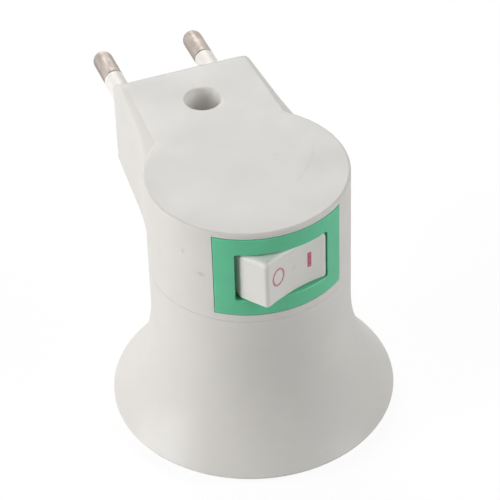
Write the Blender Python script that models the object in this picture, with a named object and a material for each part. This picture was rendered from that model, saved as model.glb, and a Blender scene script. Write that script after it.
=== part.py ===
"""Plug-in lamp holder with a rocker switch, for an E27 screw-cap lamp.

The lamp axis is vertical. The bell stands on its rim, the two plug pins point to +Y and the
switch faces -Y. Every piece is modelled about the lamp axis and hangs on one empty, which puts
the middle of the whole outline over the world origin. All lengths are in metres.
"""
import math

import bmesh
import bpy
from mathutils import Matrix, Vector

MM = 0.001

# Overall form
SEAM_Z = 33.3 * MM
RIM_RADIUS = 27.35 * MM
TOP_EDGE_ROUND = 0.5 * MM

# Clearances
FIT_GAP = 0.3 * MM
SLEEVE_GAP = 0.2 * MM
RUNNING_GAP = 0.2 * MM

# Walls of the two housings
BODY_WALL = 2.0 * MM
BLOCK_WALL = 1.3 * MM
NOSE_WALL = 2.0 * MM
LAP_HEIGHT = 2.3 * MM
SHELF_THICKNESS = 1.7 * MM
SHELF_DROP = 1.8 * MM
TONGUE_THICKNESS = 1.7 * MM
TONGUE_EDGE = 0.6 * MM

# Bell
FLARE_TOP_Z = 26.0 * MM
FLARE_POWER = 2.5
RIM_LIP_HEIGHT = 1.9 * MM
RIM_LIP_ROUND = 0.8 * MM
BELL_WALL = 1.8 * MM

# Plug block
NOSE_Y = 40.2 * MM
NOSE_MARGIN = 0.6 * MM
NOSE_CORNER = 1.0 * MM
SIDE_TAPER = math.radians(5.5)
BLEND_RADIUS = 57.0 * MM
TOP_FACE_END_Y = 33.5 * MM
NOSE_SLOPE = math.radians(35.6)
TOP_FACE_INSET = 0.2 * MM
TOP_FACE_TAPER = math.radians(1.5)
SIDE_CHAMFER_SLOPE = math.radians(40.0)

# Plug pins
PIN_SPACING = 19.0 * MM
PIN_RADIUS = 2.0 * MM
PIN_CORE_RADIUS = 1.35 * MM
PIN_LENGTH = 19.0 * MM
PIN_DEPTH = 10.6 * MM
SLEEVE_LENGTH = 10.4 * MM
PIN_COLLAR_RADIUS = 2.1 * MM
PIN_COLLAR_LENGTH = 1.0 * MM
PIN_TAIL_LENGTH = 3.4 * MM
TAIL_CUP_RADIUS = 0.75 * MM
CARRIER_LENGTH = 6.6 * MM
CARRIER_TOP_DEPTH = 6.2 * MM

# Screw that closes the housing
SCREW_OFFSET = 4.5 * MM
RECESS_RADIUS = 3.5 * MM
RECESS_DEPTH = 12.0 * MM
RECESS_WALL = 1.2 * MM
RECESS_FLOOR = 1.8 * MM
SCREW_SHANK_RADIUS = 1.45 * MM
SCREW_HEAD_RADIUS = 2.7 * MM
SCREW_HEAD_HEIGHT = 1.9 * MM
SCREW_TIP_ROOM = 1.0 * MM
BOSS_WALL = 1.9 * MM

# Switch frame
STRIP_BELOW_BEZEL = 1.8 * MM
BEZEL_END_COVER = 2.5 * MM
STRIP_ABOVE_BEZEL = 1.2 * MM
BEZEL_SIDE_COVER = 2.09 * MM
BEZEL_DEPTH = 1.2 * MM
BEZEL_PROUD = 0.15 * MM
ROCKER_END_GAP = 0.26 * MM
ROCKER_SIDE_GAP = 0.45 * MM
FRAME_WALL = 1.1 * MM
FRAME_BASE = 1.5 * MM
TERMINAL_CLEARANCE = 0.24 * MM
SNAP_HEIGHT = 0.5 * MM
SNAP_LENGTH = 2.6 * MM
SNAP_HALF_WIDTH = 2.0 * MM

# Rocker, about its own pivot
PIVOT_DEPTH = 6.25 * MM
ROCKER_TILT = math.radians(18.9)
RIDGE_HALF_SPAN = 6.8 * MM
RIDGE_REACH = 6.8 * MM
FACE_HOLLOW = 0.75 * MM
END_HALF_SPAN = 8.5 * MM
END_REACH = 1.3 * MM
SKIRT_DROP = 1.5 * MM
ROCKER_HEIGHT = 9.3 * MM
ROCKER_WALL = 1.1 * MM
ROCKER_EDGE = 0.45 * MM
RIDGE_ROUND = 0.7 * MM
TRUNNION_RADIUS = 1.1 * MM
TRUNNION_LENGTH = 0.9 * MM
STEM_WALL = 0.75 * MM
STEM_REACH = 2.6 * MM
BORE_DEPTH = 7.0 * MM
PLUNGER_RADIUS = 1.25 * MM
PLUNGER_GAP = 0.3 * MM
PLUNGER_LENGTH = 4.2 * MM
SPRING_WIRE_RADIUS = 0.17 * MM
SPRING_TURNS = 5

# Contacts of the switch
SEESAW_DEPTH = 4.5 * MM
SEESAW_TILT = math.radians(10.0)
SEESAW_HALF_LENGTH = 5.2 * MM
SEESAW_WIDTH = 4.4 * MM
STRIP_THICKNESS = 0.5 * MM
BUTTON_RADIUS = 1.2 * MM
BUTTON_HEIGHT = 0.7 * MM
BUTTON_OFFSET = 3.8 * MM
TERMINAL_THICKNESS = 0.8 * MM
TERMINAL_WIDTH = 4.0 * MM
TAB_LENGTH = 4.6 * MM

# Lamp socket
SOCKET_ROOM = 2.0 * MM
CUP_WALL = 0.9 * MM
CUP_MOUTH_Z = 8.5 * MM
CUP_FLANGE_OVERHANG = 1.2 * MM
CUP_FLANGE_HEIGHT = 1.2 * MM
CUP_FLOOR_THICKNESS = 2.2 * MM
CUP_RIM_HEIGHT = 2.0 * MM
THREAD_PITCH = 3.63 * MM
THREAD_MEAN_RADIUS = 12.75 * MM
THREAD_DEPTH = 1.1 * MM
SHELL_THICKNESS = 0.4 * MM
SHELL_MOUTH_Z = 9.6 * MM
CONTACT_CLEARANCE = 0.87 * MM
RIVET_RADIUS = 1.0 * MM
RIVET_HEAD_RADIUS = 1.9 * MM
RIVET_HEAD_HEIGHT = 0.6 * MM
LUG_WIDTH = 4.2 * MM
LUG_LENGTH = 5.6 * MM
CONTACT_WIDTH = 5.0 * MM
CONTACT_RIVET_X = -3.4 * MM
CONTACT_HALF_LENGTH = 5.6 * MM
CONTACT_DROP = 3.2 * MM

# Hold-down ribs and inner wires
RIB_THICKNESS = 1.4 * MM
RIB_DEPTH = 1.6 * MM
WIRE_RADIUS = 0.9 * MM

# Facets
ROUND_STEPS = 48
SMALL_STEPS = 20
THREAD_STEPS = 28
THREAD_ROWS = 5
FLARE_STEPS = 8
COIL_STEPS = 10

# Sizes worked out from the ones above
CUP_BORE_RADIUS = THREAD_MEAN_RADIUS + THREAD_DEPTH / 2 + SHELL_THICKNESS + FIT_GAP
CUP_RADIUS = CUP_BORE_RADIUS + CUP_WALL
BODY_RADIUS = CUP_RADIUS + SOCKET_ROOM + BODY_WALL
# The widest reach of the rocker's ridges and of its ends while it turns
RIDGE_SWING = RIDGE_HALF_SPAN * math.cos(ROCKER_TILT) + RIDGE_REACH * math.sin(ROCKER_TILT)
END_SWING = math.hypot(END_HALF_SPAN, END_REACH)
WINDOW_HALF_WIDTH = max(RIDGE_SWING, END_SWING) + ROCKER_END_GAP
WINDOW_HALF_HEIGHT = ROCKER_HEIGHT / 2 + ROCKER_SIDE_GAP
FRAME_HALF_WIDTH = WINDOW_HALF_WIDTH + FRAME_WALL
FRAME_HALF_HEIGHT = WINDOW_HALF_HEIGHT + FRAME_WALL
BEZEL_HALF_ANGLE = math.asin((FRAME_HALF_WIDTH + BEZEL_SIDE_COVER) / BODY_RADIUS)
BEZEL_LOW_Z = SEAM_Z + STRIP_BELOW_BEZEL
BEZEL_TOP_Z = BEZEL_LOW_Z + 2 * (FRAME_HALF_HEIGHT + BEZEL_END_COVER)
TOP_Z = BEZEL_TOP_Z + STRIP_ABOVE_BEZEL
SHELL_FLANGE_RADIUS = math.hypot(CONTACT_HALF_LENGTH, CONTACT_WIDTH / 2) + CONTACT_CLEARANCE
RIVET_CIRCLE_RADIUS = (SHELL_FLANGE_RADIUS + THREAD_MEAN_RADIUS - THREAD_DEPTH / 2) / 2
PIN_TIP_Y = NOSE_Y + PIN_LENGTH
NOSE_HALF_WIDTH = PIN_SPACING / 2 + PIN_RADIUS + SLEEVE_GAP + NOSE_MARGIN
TOP_FACE_HALF_WIDTH = NOSE_HALF_WIDTH - TOP_FACE_INSET
AXIS_Y = (RIM_RADIUS - PIN_TIP_Y) / 2
PIN_Z = TOP_Z - PIN_DEPTH
UPPER_LOW_Z = SEAM_Z + FIT_GAP
LAP_RADIUS = BODY_RADIUS - BODY_WALL / 2
SPIGOT_RADIUS = LAP_RADIUS - FIT_GAP
BODY_BORE_RADIUS = BODY_RADIUS - BODY_WALL
CEILING_Z = TOP_Z - BODY_WALL
SHELF_TOP_Z = SEAM_Z - SHELF_DROP
SHELF_BORE_RADIUS = CUP_RADIUS + FIT_GAP
CUP_FLANGE_RADIUS = CUP_RADIUS + CUP_FLANGE_OVERHANG
CUP_FLANGE_Z = SHELF_TOP_Z + FIT_GAP
CUP_FLANGE_TOP_Z = CUP_FLANGE_Z + CUP_FLANGE_HEIGHT
CUP_FLOOR_TOP_Z = CUP_FLANGE_TOP_Z - CUP_RIM_HEIGHT
CUP_FLOOR_Z = CUP_FLOOR_TOP_Z - CUP_FLOOR_THICKNESS
SHELL_TOP_Z = CUP_FLOOR_Z - FIT_GAP
RECESS_FLOOR_Z = TOP_Z - RECESS_DEPTH
BOSS_TOP_Z = RECESS_FLOOR_Z - RECESS_FLOOR - FIT_GAP
PILOT_FLOOR_Z = SEAM_Z - TONGUE_THICKNESS * 0.3
SCREW_Y = BODY_RADIUS + SCREW_OFFSET
SWITCH_Z = (BEZEL_LOW_Z + BEZEL_TOP_Z) / 2
SEAT_RADIUS = BODY_RADIUS - BEZEL_DEPTH
PIVOT_Y = -(BODY_RADIUS - PIVOT_DEPTH)
STEM_BORE_RADIUS = PLUNGER_RADIUS + FIT_GAP
STEM_RADIUS = STEM_BORE_RADIUS + STEM_WALL
SPRING_RADIUS = PLUNGER_RADIUS - FIT_GAP
PLUNGER_REACH = SEESAW_DEPTH - PLUNGER_GAP
SEESAW_Y = PIVOT_Y + SEESAW_DEPTH
BUTTON_FACE_RADIUS = BUTTON_RADIUS * 0.8
BUTTON_LOW = STRIP_THICKNESS / 2 + RUNNING_GAP / 2
TOUCH_Y = (SEESAW_Y + (BUTTON_LOW + BUTTON_HEIGHT) * math.cos(SEESAW_TILT)
           + (BUTTON_OFFSET + BUTTON_FACE_RADIUS) * math.sin(SEESAW_TILT))
FIXED_BUTTON_Y = TOUCH_Y + RUNNING_GAP
LOAD_HEAD_Y = FIXED_BUTTON_Y + BUTTON_HEIGHT + RUNNING_GAP / 2
FRAME_INNER_Y = LOAD_HEAD_Y + TERMINAL_THICKNESS + TERMINAL_CLEARANCE
FRAME_BACK_Y = FRAME_INNER_Y + FRAME_BASE
TAB_END_Y = FRAME_BACK_Y + TAB_LENGTH


def clear_scene():
    """Start from an empty scene."""
    for thing in list(bpy.data.objects):
        bpy.data.objects.remove(thing, do_unlink=True)


def material(name, colour, roughness, metallic=0.0):
    """Principled material of one colour, made once for each name."""
    found = bpy.data.materials.get(name)
    if found:
        return found
    made = bpy.data.materials.new(name)
    made.use_nodes = True
    shader = made.node_tree.nodes["Principled BSDF"]
    shader.inputs["Base Color"].default_value = (*colour, 1.0)
    shader.inputs["Roughness"].default_value = roughness
    shader.inputs["Metallic"].default_value = metallic
    return made


def add_object(name, mesh_builder, look=None, smooth=40.0):
    """Turn a bmesh into a named object that hangs on the lamp-axis empty."""
    bmesh.ops.recalc_face_normals(mesh_builder, faces=mesh_builder.faces)
    mesh = bpy.data.meshes.new(name)
    mesh_builder.to_mesh(mesh)
    mesh_builder.free()
    mesh.shade_smooth()
    mesh.set_sharp_from_angle(angle=math.radians(smooth))
    thing = bpy.data.objects.new(name, mesh)
    bpy.context.scene.collection.objects.link(thing)
    thing.parent = bpy.data.objects["lamp_axis"]
    if look:
        mesh.materials.append(look)
    return thing


def combine(target, kind, name, mesh_builder):
    """Add a Boolean to a piece, with a hidden wire tool as its other half."""
    tool = add_object(name, mesh_builder)
    tool.hide_render = True
    tool.display_type = "WIRE"
    tool.parent = target
    step = target.modifiers.new(name, "BOOLEAN")
    step.operation = kind
    step.solver = "EXACT"
    step.object = tool
    return tool


def cut(target, name, mesh_builder):
    """Take a shape out of a piece."""
    return combine(target, "DIFFERENCE", name, mesh_builder)


def join(target, name, mesh_builder):
    """Fuse a shape onto a piece."""
    return combine(target, "UNION", name, mesh_builder)


def arc(centre, radius, start, end, steps):
    """Points along an arc, both ends included."""
    points = []
    for index in range(steps + 1):
        angle = start + (end - start) * index / steps
        points.append((centre[0] + radius * math.cos(angle), centre[1] + radius * math.sin(angle)))
    return points


def rounded(corners, steps=4):
    """Closed outline from (x, y, radius) corners, each rounded by its own radius."""
    outline = []
    count = len(corners)
    for index, (x, y, radius) in enumerate(corners):
        corner = Vector((x, y))
        before = (Vector(corners[index - 1][:2]) - corner).normalized()
        after = (Vector(corners[(index + 1) % count][:2]) - corner).normalized()
        if radius <= 0:
            outline.append((x, y))
            continue
        half = before.angle(after) / 2
        centre = corner + (before + after).normalized() * (radius / math.sin(half))
        first = corner + before * (radius / math.tan(half)) - centre
        last = corner + after * (radius / math.tan(half)) - centre
        turn = first.angle_signed(last)
        for step in range(steps + 1):
            spoke = first.copy()
            spoke.rotate(Matrix.Rotation(-turn * step / steps, 2))
            outline.append((centre.x + spoke.x, centre.y + spoke.y))
    return outline


def inset(outline, distance):
    """Outline moved inward by a distance, corner by corner (counter-clockwise outlines)."""
    moved = []
    count = len(outline)
    for index, point in enumerate(outline):
        here = Vector(point)
        back = (here - Vector(outline[index - 1])).normalized()
        ahead = (Vector(outline[(index + 1) % count]) - here).normalized()
        mean = (back + ahead).normalized()
        inward = Vector((-mean.y, mean.x))
        stretch = 1 / max(mean.dot(ahead), 0.5)
        moved.append(tuple(here + inward * distance * stretch))
    return moved


def loft(rings):
    """Closed solid through rings of equal length, each a list of 3-D points."""
    builder = bmesh.new()
    loops = [[builder.verts.new(point) for point in ring] for ring in rings]
    for lower, upper in zip(loops, loops[1:]):
        for index in range(len(lower)):
            near = (index + 1) % len(lower)
            builder.faces.new((lower[index], lower[near], upper[near], upper[index]))
    builder.faces.new(loops[0][::-1])
    builder.faces.new(loops[-1])
    return builder


def prism(outline, low_z, high_z):
    """Upright prism of a plan outline."""
    return loft([[(x, y, z) for x, y in outline] for z in (low_z, high_z)])


def box(low, high):
    """Box between two corners."""
    outline = [(low[0], low[1]), (high[0], low[1]), (high[0], high[1]), (low[0], high[1])]
    return prism(outline, low[2], high[2])


def turned(profile, closed=True, steps=ROUND_STEPS):
    """Solid turned about Z from (radius, z) points; an open profile starts and ends on the axis."""
    builder = bmesh.new()
    points = [builder.verts.new((radius, 0, z)) for radius, z in profile]
    edges = [builder.edges.new(pair) for pair in zip(points, points[1:])]
    if closed:
        edges.append(builder.edges.new((points[-1], points[0])))
    bmesh.ops.spin(builder, geom=points + edges, cent=(0, 0, 0), axis=(0, 0, 1),
                   angle=math.tau, steps=steps, use_merge=True, use_duplicate=False)
    bmesh.ops.remove_doubles(builder, verts=builder.verts, dist=1e-7)
    return builder


def cylinder(radius, low_z, high_z, steps=SMALL_STEPS, centre=(0, 0)):
    """Upright cylinder, its middle at a plan point."""
    builder = turned([(0, low_z), (radius, low_z), (radius, high_z), (0, high_z)], False, steps)
    bmesh.ops.translate(builder, verts=builder.verts, vec=(centre[0], centre[1], 0))
    return builder


def along_y(builder, x, y, z):
    """Lay a turned solid down so that its axis points to +Y, its foot at a point."""
    turn = Matrix.Rotation(math.radians(-90), 4, "X")
    bmesh.ops.transform(builder, matrix=Matrix.Translation((x, y, z)) @ turn, verts=builder.verts)
    return builder


def facing_switch(profile, steps=SMALL_STEPS, closed=False):
    """Solid turned about Y from (radius, y) points, for pieces on the switch's inner axis."""
    return along_y(turned(profile, closed, steps), 0, 0, 0)


def blend_centre():
    """Centre of the arc that blends the block's side into the round body."""
    side = Vector((math.cos(SIDE_TAPER), math.sin(SIDE_TAPER)))
    down = Vector((side.y, -side.x))
    start = Vector((NOSE_HALF_WIDTH, NOSE_Y)) + side * BLEND_RADIUS
    reach = start.dot(down)
    spare = start.length_squared - (BODY_RADIUS + BLEND_RADIUS) ** 2
    return start + down * (-reach - math.sqrt(reach ** 2 - spare)), side


def block_outline(wall, nose_wall, tie_radius=None):
    """Plan outline of the plug block, moved inward by its wall.

    It runs from the round body along the blend arc and the tapered side to the rounded nose,
    and back down the other side. A tie radius closes it along an arc inside the body's wall.
    """
    centre, side = blend_centre()
    start = math.atan2(-centre.y, -centre.x) % math.tau
    end = math.atan2(-side.y, -side.x) % math.tau
    blend = arc(centre, BLEND_RADIUS + wall, start, end, 10)
    down = Vector((side.y, -side.x))
    nose_y = NOSE_Y - nose_wall
    corner_start = Vector((NOSE_HALF_WIDTH, NOSE_Y)) - side * wall
    corner = corner_start + down * ((corner_start.y - nose_y) / -down.y)
    turn = max(NOSE_CORNER - wall / 2, NOSE_CORNER / 4)
    nose = rounded([(*blend[-1], 0), (corner.x, nose_y, turn), (-corner.x, nose_y, turn)], 3)
    right = blend + nose[1:5]
    outline = right + [(-x, y) for x, y in reversed(right)]
    if tie_radius:
        reach = math.atan2(blend[0][1], blend[0][0])
        outline += arc((0, 0), tie_radius, math.pi - reach, reach, 16)
    return outline


def slice_off(builder, point, normal):
    """Cut away what lies on the normal's side of a plane and close the cut."""
    everything = list(builder.verts) + list(builder.edges) + list(builder.faces)
    result = bmesh.ops.bisect_plane(builder, geom=everything, dist=1e-8, plane_co=point,
                                    plane_no=normal, clear_outer=True)
    edges = [item for item in result["geom_cut"] if isinstance(item, bmesh.types.BMEdge)]
    bmesh.ops.holes_fill(builder, edges=edges)
    return builder


def block_solid(wall, nose_wall, low_z, high_z):
    """Plug block with its sloping nose and its two slanted top edges."""
    builder = prism(block_outline(wall, nose_wall), low_z, high_z)
    slope = Vector((0, math.sin(NOSE_SLOPE), math.cos(NOSE_SLOPE)))
    slice_off(builder, Vector((0, TOP_FACE_END_Y, TOP_Z)) - slope * wall, slope)
    for side in (1, -1):
        across = Vector((side * math.cos(TOP_FACE_TAPER), math.sin(TOP_FACE_TAPER), 0))
        tilt = across * math.sin(SIDE_CHAMFER_SLOPE) + Vector((0, 0, math.cos(SIDE_CHAMFER_SLOPE)))
        edge = Vector((side * TOP_FACE_HALF_WIDTH, TOP_FACE_END_Y, TOP_Z))
        slice_off(builder, edge - tilt * wall, tilt)
    return builder


def sector(inner, outer, half_angle, low_z, high_z, steps=16):
    """Curved slab on the front of the body between two radii."""
    front = -math.pi / 2
    near = arc((0, 0), inner, front + half_angle, front - half_angle, steps)
    far = arc((0, 0), outer, front - half_angle, front + half_angle, steps)
    return prism(far + near, low_z, high_z)


def bell_flare(z):
    """Outer radius of the bell at a height."""
    share = max(FLARE_TOP_Z - z, 0) / (FLARE_TOP_Z - RIM_LIP_HEIGHT)
    return BODY_RADIUS + (RIM_RADIUS - BODY_RADIUS) * share ** FLARE_POWER


def bell_profile():
    """Section of the lower housing: lap, neck, flare, rim and the shelf for the socket."""
    drop = RIM_LIP_HEIGHT - FLARE_TOP_Z
    heights = [FLARE_TOP_Z + drop * index / FLARE_STEPS for index in range(1, FLARE_STEPS + 1)]
    outer = [(bell_flare(z), z) for z in heights]
    inner = []
    for radius, z in outer:
        slope = (bell_flare(z - MM / 10) - bell_flare(z + MM / 10)) / (MM / 5)
        away = Vector((1, slope)).normalized() * BELL_WALL
        if z - away.y > RIM_LIP_HEIGHT:
            inner.append((radius - away.x, z - away.y))
    lip = rounded([(*outer[-2], 0), (*outer[-1], RIM_LIP_ROUND), (RIM_RADIUS, 0, RIM_LIP_ROUND),
                   (inner[-1][0], 0, RIM_LIP_ROUND / 3), (*inner[-1], 0)], 3)
    lap_top = SEAM_Z + LAP_HEIGHT
    lap_bore = CUP_FLANGE_RADIUS + FIT_GAP
    neck = [(lap_bore, lap_top), (SPIGOT_RADIUS, lap_top), (SPIGOT_RADIUS, SEAM_Z),
            (BODY_RADIUS, SEAM_Z), (BODY_RADIUS, FLARE_TOP_Z)]
    shelf = [(BODY_BORE_RADIUS, SHELF_TOP_Z - SHELF_THICKNESS),
             (SHELF_BORE_RADIUS, SHELF_TOP_Z - SHELF_THICKNESS),
             (SHELF_BORE_RADIUS, SHELF_TOP_Z), (lap_bore, SHELF_TOP_Z)]
    return neck + outer[:-2] + lip + inner[-2::-1] + shelf


def make_bell_skirt(look):
    """Lower housing: turned bell and neck, with the tongue that closes the plug block."""
    skirt = add_object("bell_skirt", turned(bell_profile()), look)
    tongue = block_outline(0, 0, LAP_RADIUS)
    low = SEAM_Z - TONGUE_THICKNESS
    narrow = block_outline(TONGUE_EDGE, TONGUE_EDGE, LAP_RADIUS)
    rings = [(narrow, low), (tongue, low + TONGUE_EDGE), (tongue, SEAM_Z)]
    join(skirt, "tongue_tool", loft([[(x, y, z) for x, y in plan] for plan, z in rings]))
    boss_radius = SCREW_SHANK_RADIUS + BOSS_WALL
    boss = cylinder(boss_radius, low + TONGUE_THICKNESS / 2, BOSS_TOP_Z, centre=(0, SCREW_Y))
    join(skirt, "boss_tool", boss)
    pilot_radius = SCREW_SHANK_RADIUS + RUNNING_GAP
    pilot = cylinder(pilot_radius, PILOT_FLOOR_Z, BOSS_TOP_Z + FIT_GAP, 12, (0, SCREW_Y))
    cut(skirt, "pilot_tool", pilot)
    return skirt


def make_upper_housing(look):
    """Upper housing: capped tube and plug block in one shell, open below."""
    profile = [(0, UPPER_LOW_Z), (BODY_RADIUS, UPPER_LOW_Z)]
    profile += arc((BODY_RADIUS - TOP_EDGE_ROUND, TOP_Z - TOP_EDGE_ROUND), TOP_EDGE_ROUND,
                   0, math.pi / 2, 3)
    profile.append((0, TOP_Z))
    housing = add_object("upper_housing", turned(profile, False), look)
    below = UPPER_LOW_Z - FIT_GAP
    join(housing, "block_tool", block_solid(0, 0, UPPER_LOW_Z, TOP_Z))
    lap_top = UPPER_LOW_Z + LAP_HEIGHT
    bore = [(0, below), (LAP_RADIUS, below), (LAP_RADIUS, lap_top), (BODY_BORE_RADIUS, lap_top),
            (BODY_BORE_RADIUS, CEILING_Z), (0, CEILING_Z)]
    cut(housing, "bore_tool", turned(bore, False))
    cut(housing, "block_bore_tool", block_solid(BLOCK_WALL, NOSE_WALL, below, TOP_Z - BODY_WALL))
    add_hold_down_ribs(housing)
    for side in (1, -1):
        hole = turned([(0, 0), (PIN_RADIUS + SLEEVE_GAP, 0),
                       (PIN_RADIUS + SLEEVE_GAP, NOSE_WALL * 3), (0, NOSE_WALL * 3)], False,
                      SMALL_STEPS)
        along_y(hole, side * PIN_SPACING / 2, NOSE_Y - NOSE_WALL * 1.5, PIN_Z)
        cut(housing, "pin_hole_tool", hole)
    bezel_angle = BEZEL_HALF_ANGLE + FIT_GAP / BODY_RADIUS / 2
    low = BEZEL_LOW_Z - FIT_GAP / 2
    high = BEZEL_TOP_Z + FIT_GAP / 2
    cut(housing, "bezel_seat_tool", sector(SEAT_RADIUS, BODY_RADIUS * 1.2, bezel_angle, low, high))
    half_width = FRAME_HALF_WIDTH + FIT_GAP
    half_height = FRAME_HALF_HEIGHT + FIT_GAP
    through = BODY_WALL / 2 - math.sqrt(BODY_BORE_RADIUS ** 2 - half_width ** 2)
    cut(housing, "switch_opening_tool", box((-half_width, -BODY_RADIUS, SWITCH_Z - half_height),
                                            (half_width, through, SWITCH_Z + half_height)))
    add_recess(housing)
    return housing


def add_recess(housing):
    """Deep round recess in the block's top, with a floor that the closing screw clamps."""
    spot = (0, SCREW_Y)
    foot = RECESS_FLOOR_Z - RECESS_FLOOR
    join(housing, "recess_wall_tool",
         cylinder(RECESS_RADIUS + RECESS_WALL, foot, TOP_Z - BODY_WALL / 2, 24, spot))
    cut(housing, "recess_tool", cylinder(RECESS_RADIUS, RECESS_FLOOR_Z, TOP_Z + MM, 24, spot))
    hole_radius = SCREW_SHANK_RADIUS + RUNNING_GAP
    cut(housing, "screw_hole_tool",
        cylinder(hole_radius, foot - MM, RECESS_FLOOR_Z + MM, 12, spot))


def add_hold_down_ribs(housing):
    """Two blades that reach down inside the lap and hold the socket on its shelf."""
    tip = CUP_FLANGE_RADIUS
    lap_top = UPPER_LOW_Z + LAP_HEIGHT + FIT_GAP
    foot = CUP_FLANGE_TOP_Z + FIT_GAP
    root = BODY_RADIUS - BODY_WALL / 3
    for side in (1, -1):
        blade = [(tip - RIB_DEPTH, foot), (tip, foot), (tip, lap_top),
                 (root, lap_top), (root, CEILING_Z + MM), (tip - RIB_DEPTH, CEILING_Z + MM)]
        rings = [[(side * x, y, z) for x, z in blade]
                 for y in (-RIB_THICKNESS / 2, RIB_THICKNESS / 2)]
        join(housing, "rib_tool", loft(rings))


def make_pins(metal, white):
    """Two plug pins, each with its insulating sleeve."""
    neck = SLEEVE_LENGTH + NOSE_WALL
    collar = neck + FIT_GAP + CARRIER_LENGTH
    tail = collar + FIT_GAP + PIN_COLLAR_LENGTH
    end = tail + PIN_TAIL_LENGTH
    tip = PIN_LENGTH - SLEEVE_LENGTH
    # Along the pin, zero is the shoulder where the sleeve ends and the tip points away
    profile = [(0, -end + PIN_TAIL_LENGTH / 2), (TAIL_CUP_RADIUS, -end + PIN_TAIL_LENGTH / 2),
               (TAIL_CUP_RADIUS, -end), (PIN_CORE_RADIUS, -end), (PIN_CORE_RADIUS, -tail),
               (PIN_COLLAR_RADIUS, -tail), (PIN_COLLAR_RADIUS, -tail + PIN_COLLAR_LENGTH),
               (PIN_CORE_RADIUS, -tail + PIN_COLLAR_LENGTH), (PIN_CORE_RADIUS, 0), (PIN_RADIUS, 0)]
    profile += arc((0, tip - PIN_RADIUS), PIN_RADIUS, 0, math.pi / 2, 6)
    profile[-1] = (0, tip)
    sleeve_bore = PIN_CORE_RADIUS + SLEEVE_GAP
    sleeve = [(sleeve_bore, -neck), (PIN_RADIUS, -neck), (PIN_RADIUS, -SLEEVE_GAP),
              (sleeve_bore, -SLEEVE_GAP)]
    for side, word in ((-1, "left"), (1, "right")):
        place = (side * PIN_SPACING / 2, NOSE_Y + SLEEVE_LENGTH, PIN_Z)
        pin = along_y(turned(profile, False, SMALL_STEPS), *place)
        add_object("pin_" + word, pin, metal)
        add_object("pin_sleeve_" + word, along_y(turned(sleeve, True, SMALL_STEPS), *place), white)


def make_pin_carrier(look):
    """Moulded block that holds both pins just behind the nose."""
    half = NOSE_HALF_WIDTH - BLOCK_WALL - FIT_GAP
    back = NOSE_Y - NOSE_WALL - FIT_GAP
    front = back - CARRIER_LENGTH
    low = SEAM_Z + FIT_GAP
    high = TOP_Z - CARRIER_TOP_DEPTH
    outline = rounded([(-half, low, MM), (half, low, MM), (half, high, MM), (-half, high, MM)], 2)
    carrier = add_object("pin_carrier", loft([[(x, y, z) for x, z in outline]
                                              for y in (front, back)]), look)
    for side in (1, -1):
        bore = turned([(0, 0), (PIN_CORE_RADIUS + SLEEVE_GAP, 0),
                       (PIN_CORE_RADIUS + SLEEVE_GAP, CARRIER_LENGTH * 3),
                       (0, CARRIER_LENGTH * 3)], False, SMALL_STEPS)
        along_y(bore, side * PIN_SPACING / 2, front - CARRIER_LENGTH, PIN_Z)
        cut(carrier, "carrier_bore_tool", bore)


def make_housing_screw(look):
    """Self-tapping screw in the recess, with a cross slot in its pan head."""
    seat = RECESS_FLOOR_Z + FIT_GAP / 2
    tip = PILOT_FLOOR_Z + SCREW_TIP_ROOM
    profile = [(0, tip), (SCREW_SHANK_RADIUS, tip + SCREW_SHANK_RADIUS),
               (SCREW_SHANK_RADIUS, seat), (SCREW_HEAD_RADIUS, seat)]
    crown = seat + SCREW_HEAD_HEIGHT
    profile += [(SCREW_HEAD_RADIUS, crown - SCREW_HEAD_HEIGHT / 2),
                (SCREW_HEAD_RADIUS * 0.7, crown), (0, crown)]
    builder = turned(profile, False, 16)
    bmesh.ops.translate(builder, verts=builder.verts, vec=(0, SCREW_Y, 0))
    screw = add_object("housing_screw", builder, look)
    reach = SCREW_HEAD_RADIUS * 0.62
    half = SCREW_HEAD_RADIUS * 0.13
    depth = crown - SCREW_HEAD_HEIGHT * 0.6
    cut(screw, "slot_tool", box((-reach, SCREW_Y - half, depth), (reach, SCREW_Y + half, crown + MM)))
    cut(screw, "cross_tool", box((-half, SCREW_Y - reach, depth), (half, SCREW_Y + reach, crown + MM)))


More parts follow.
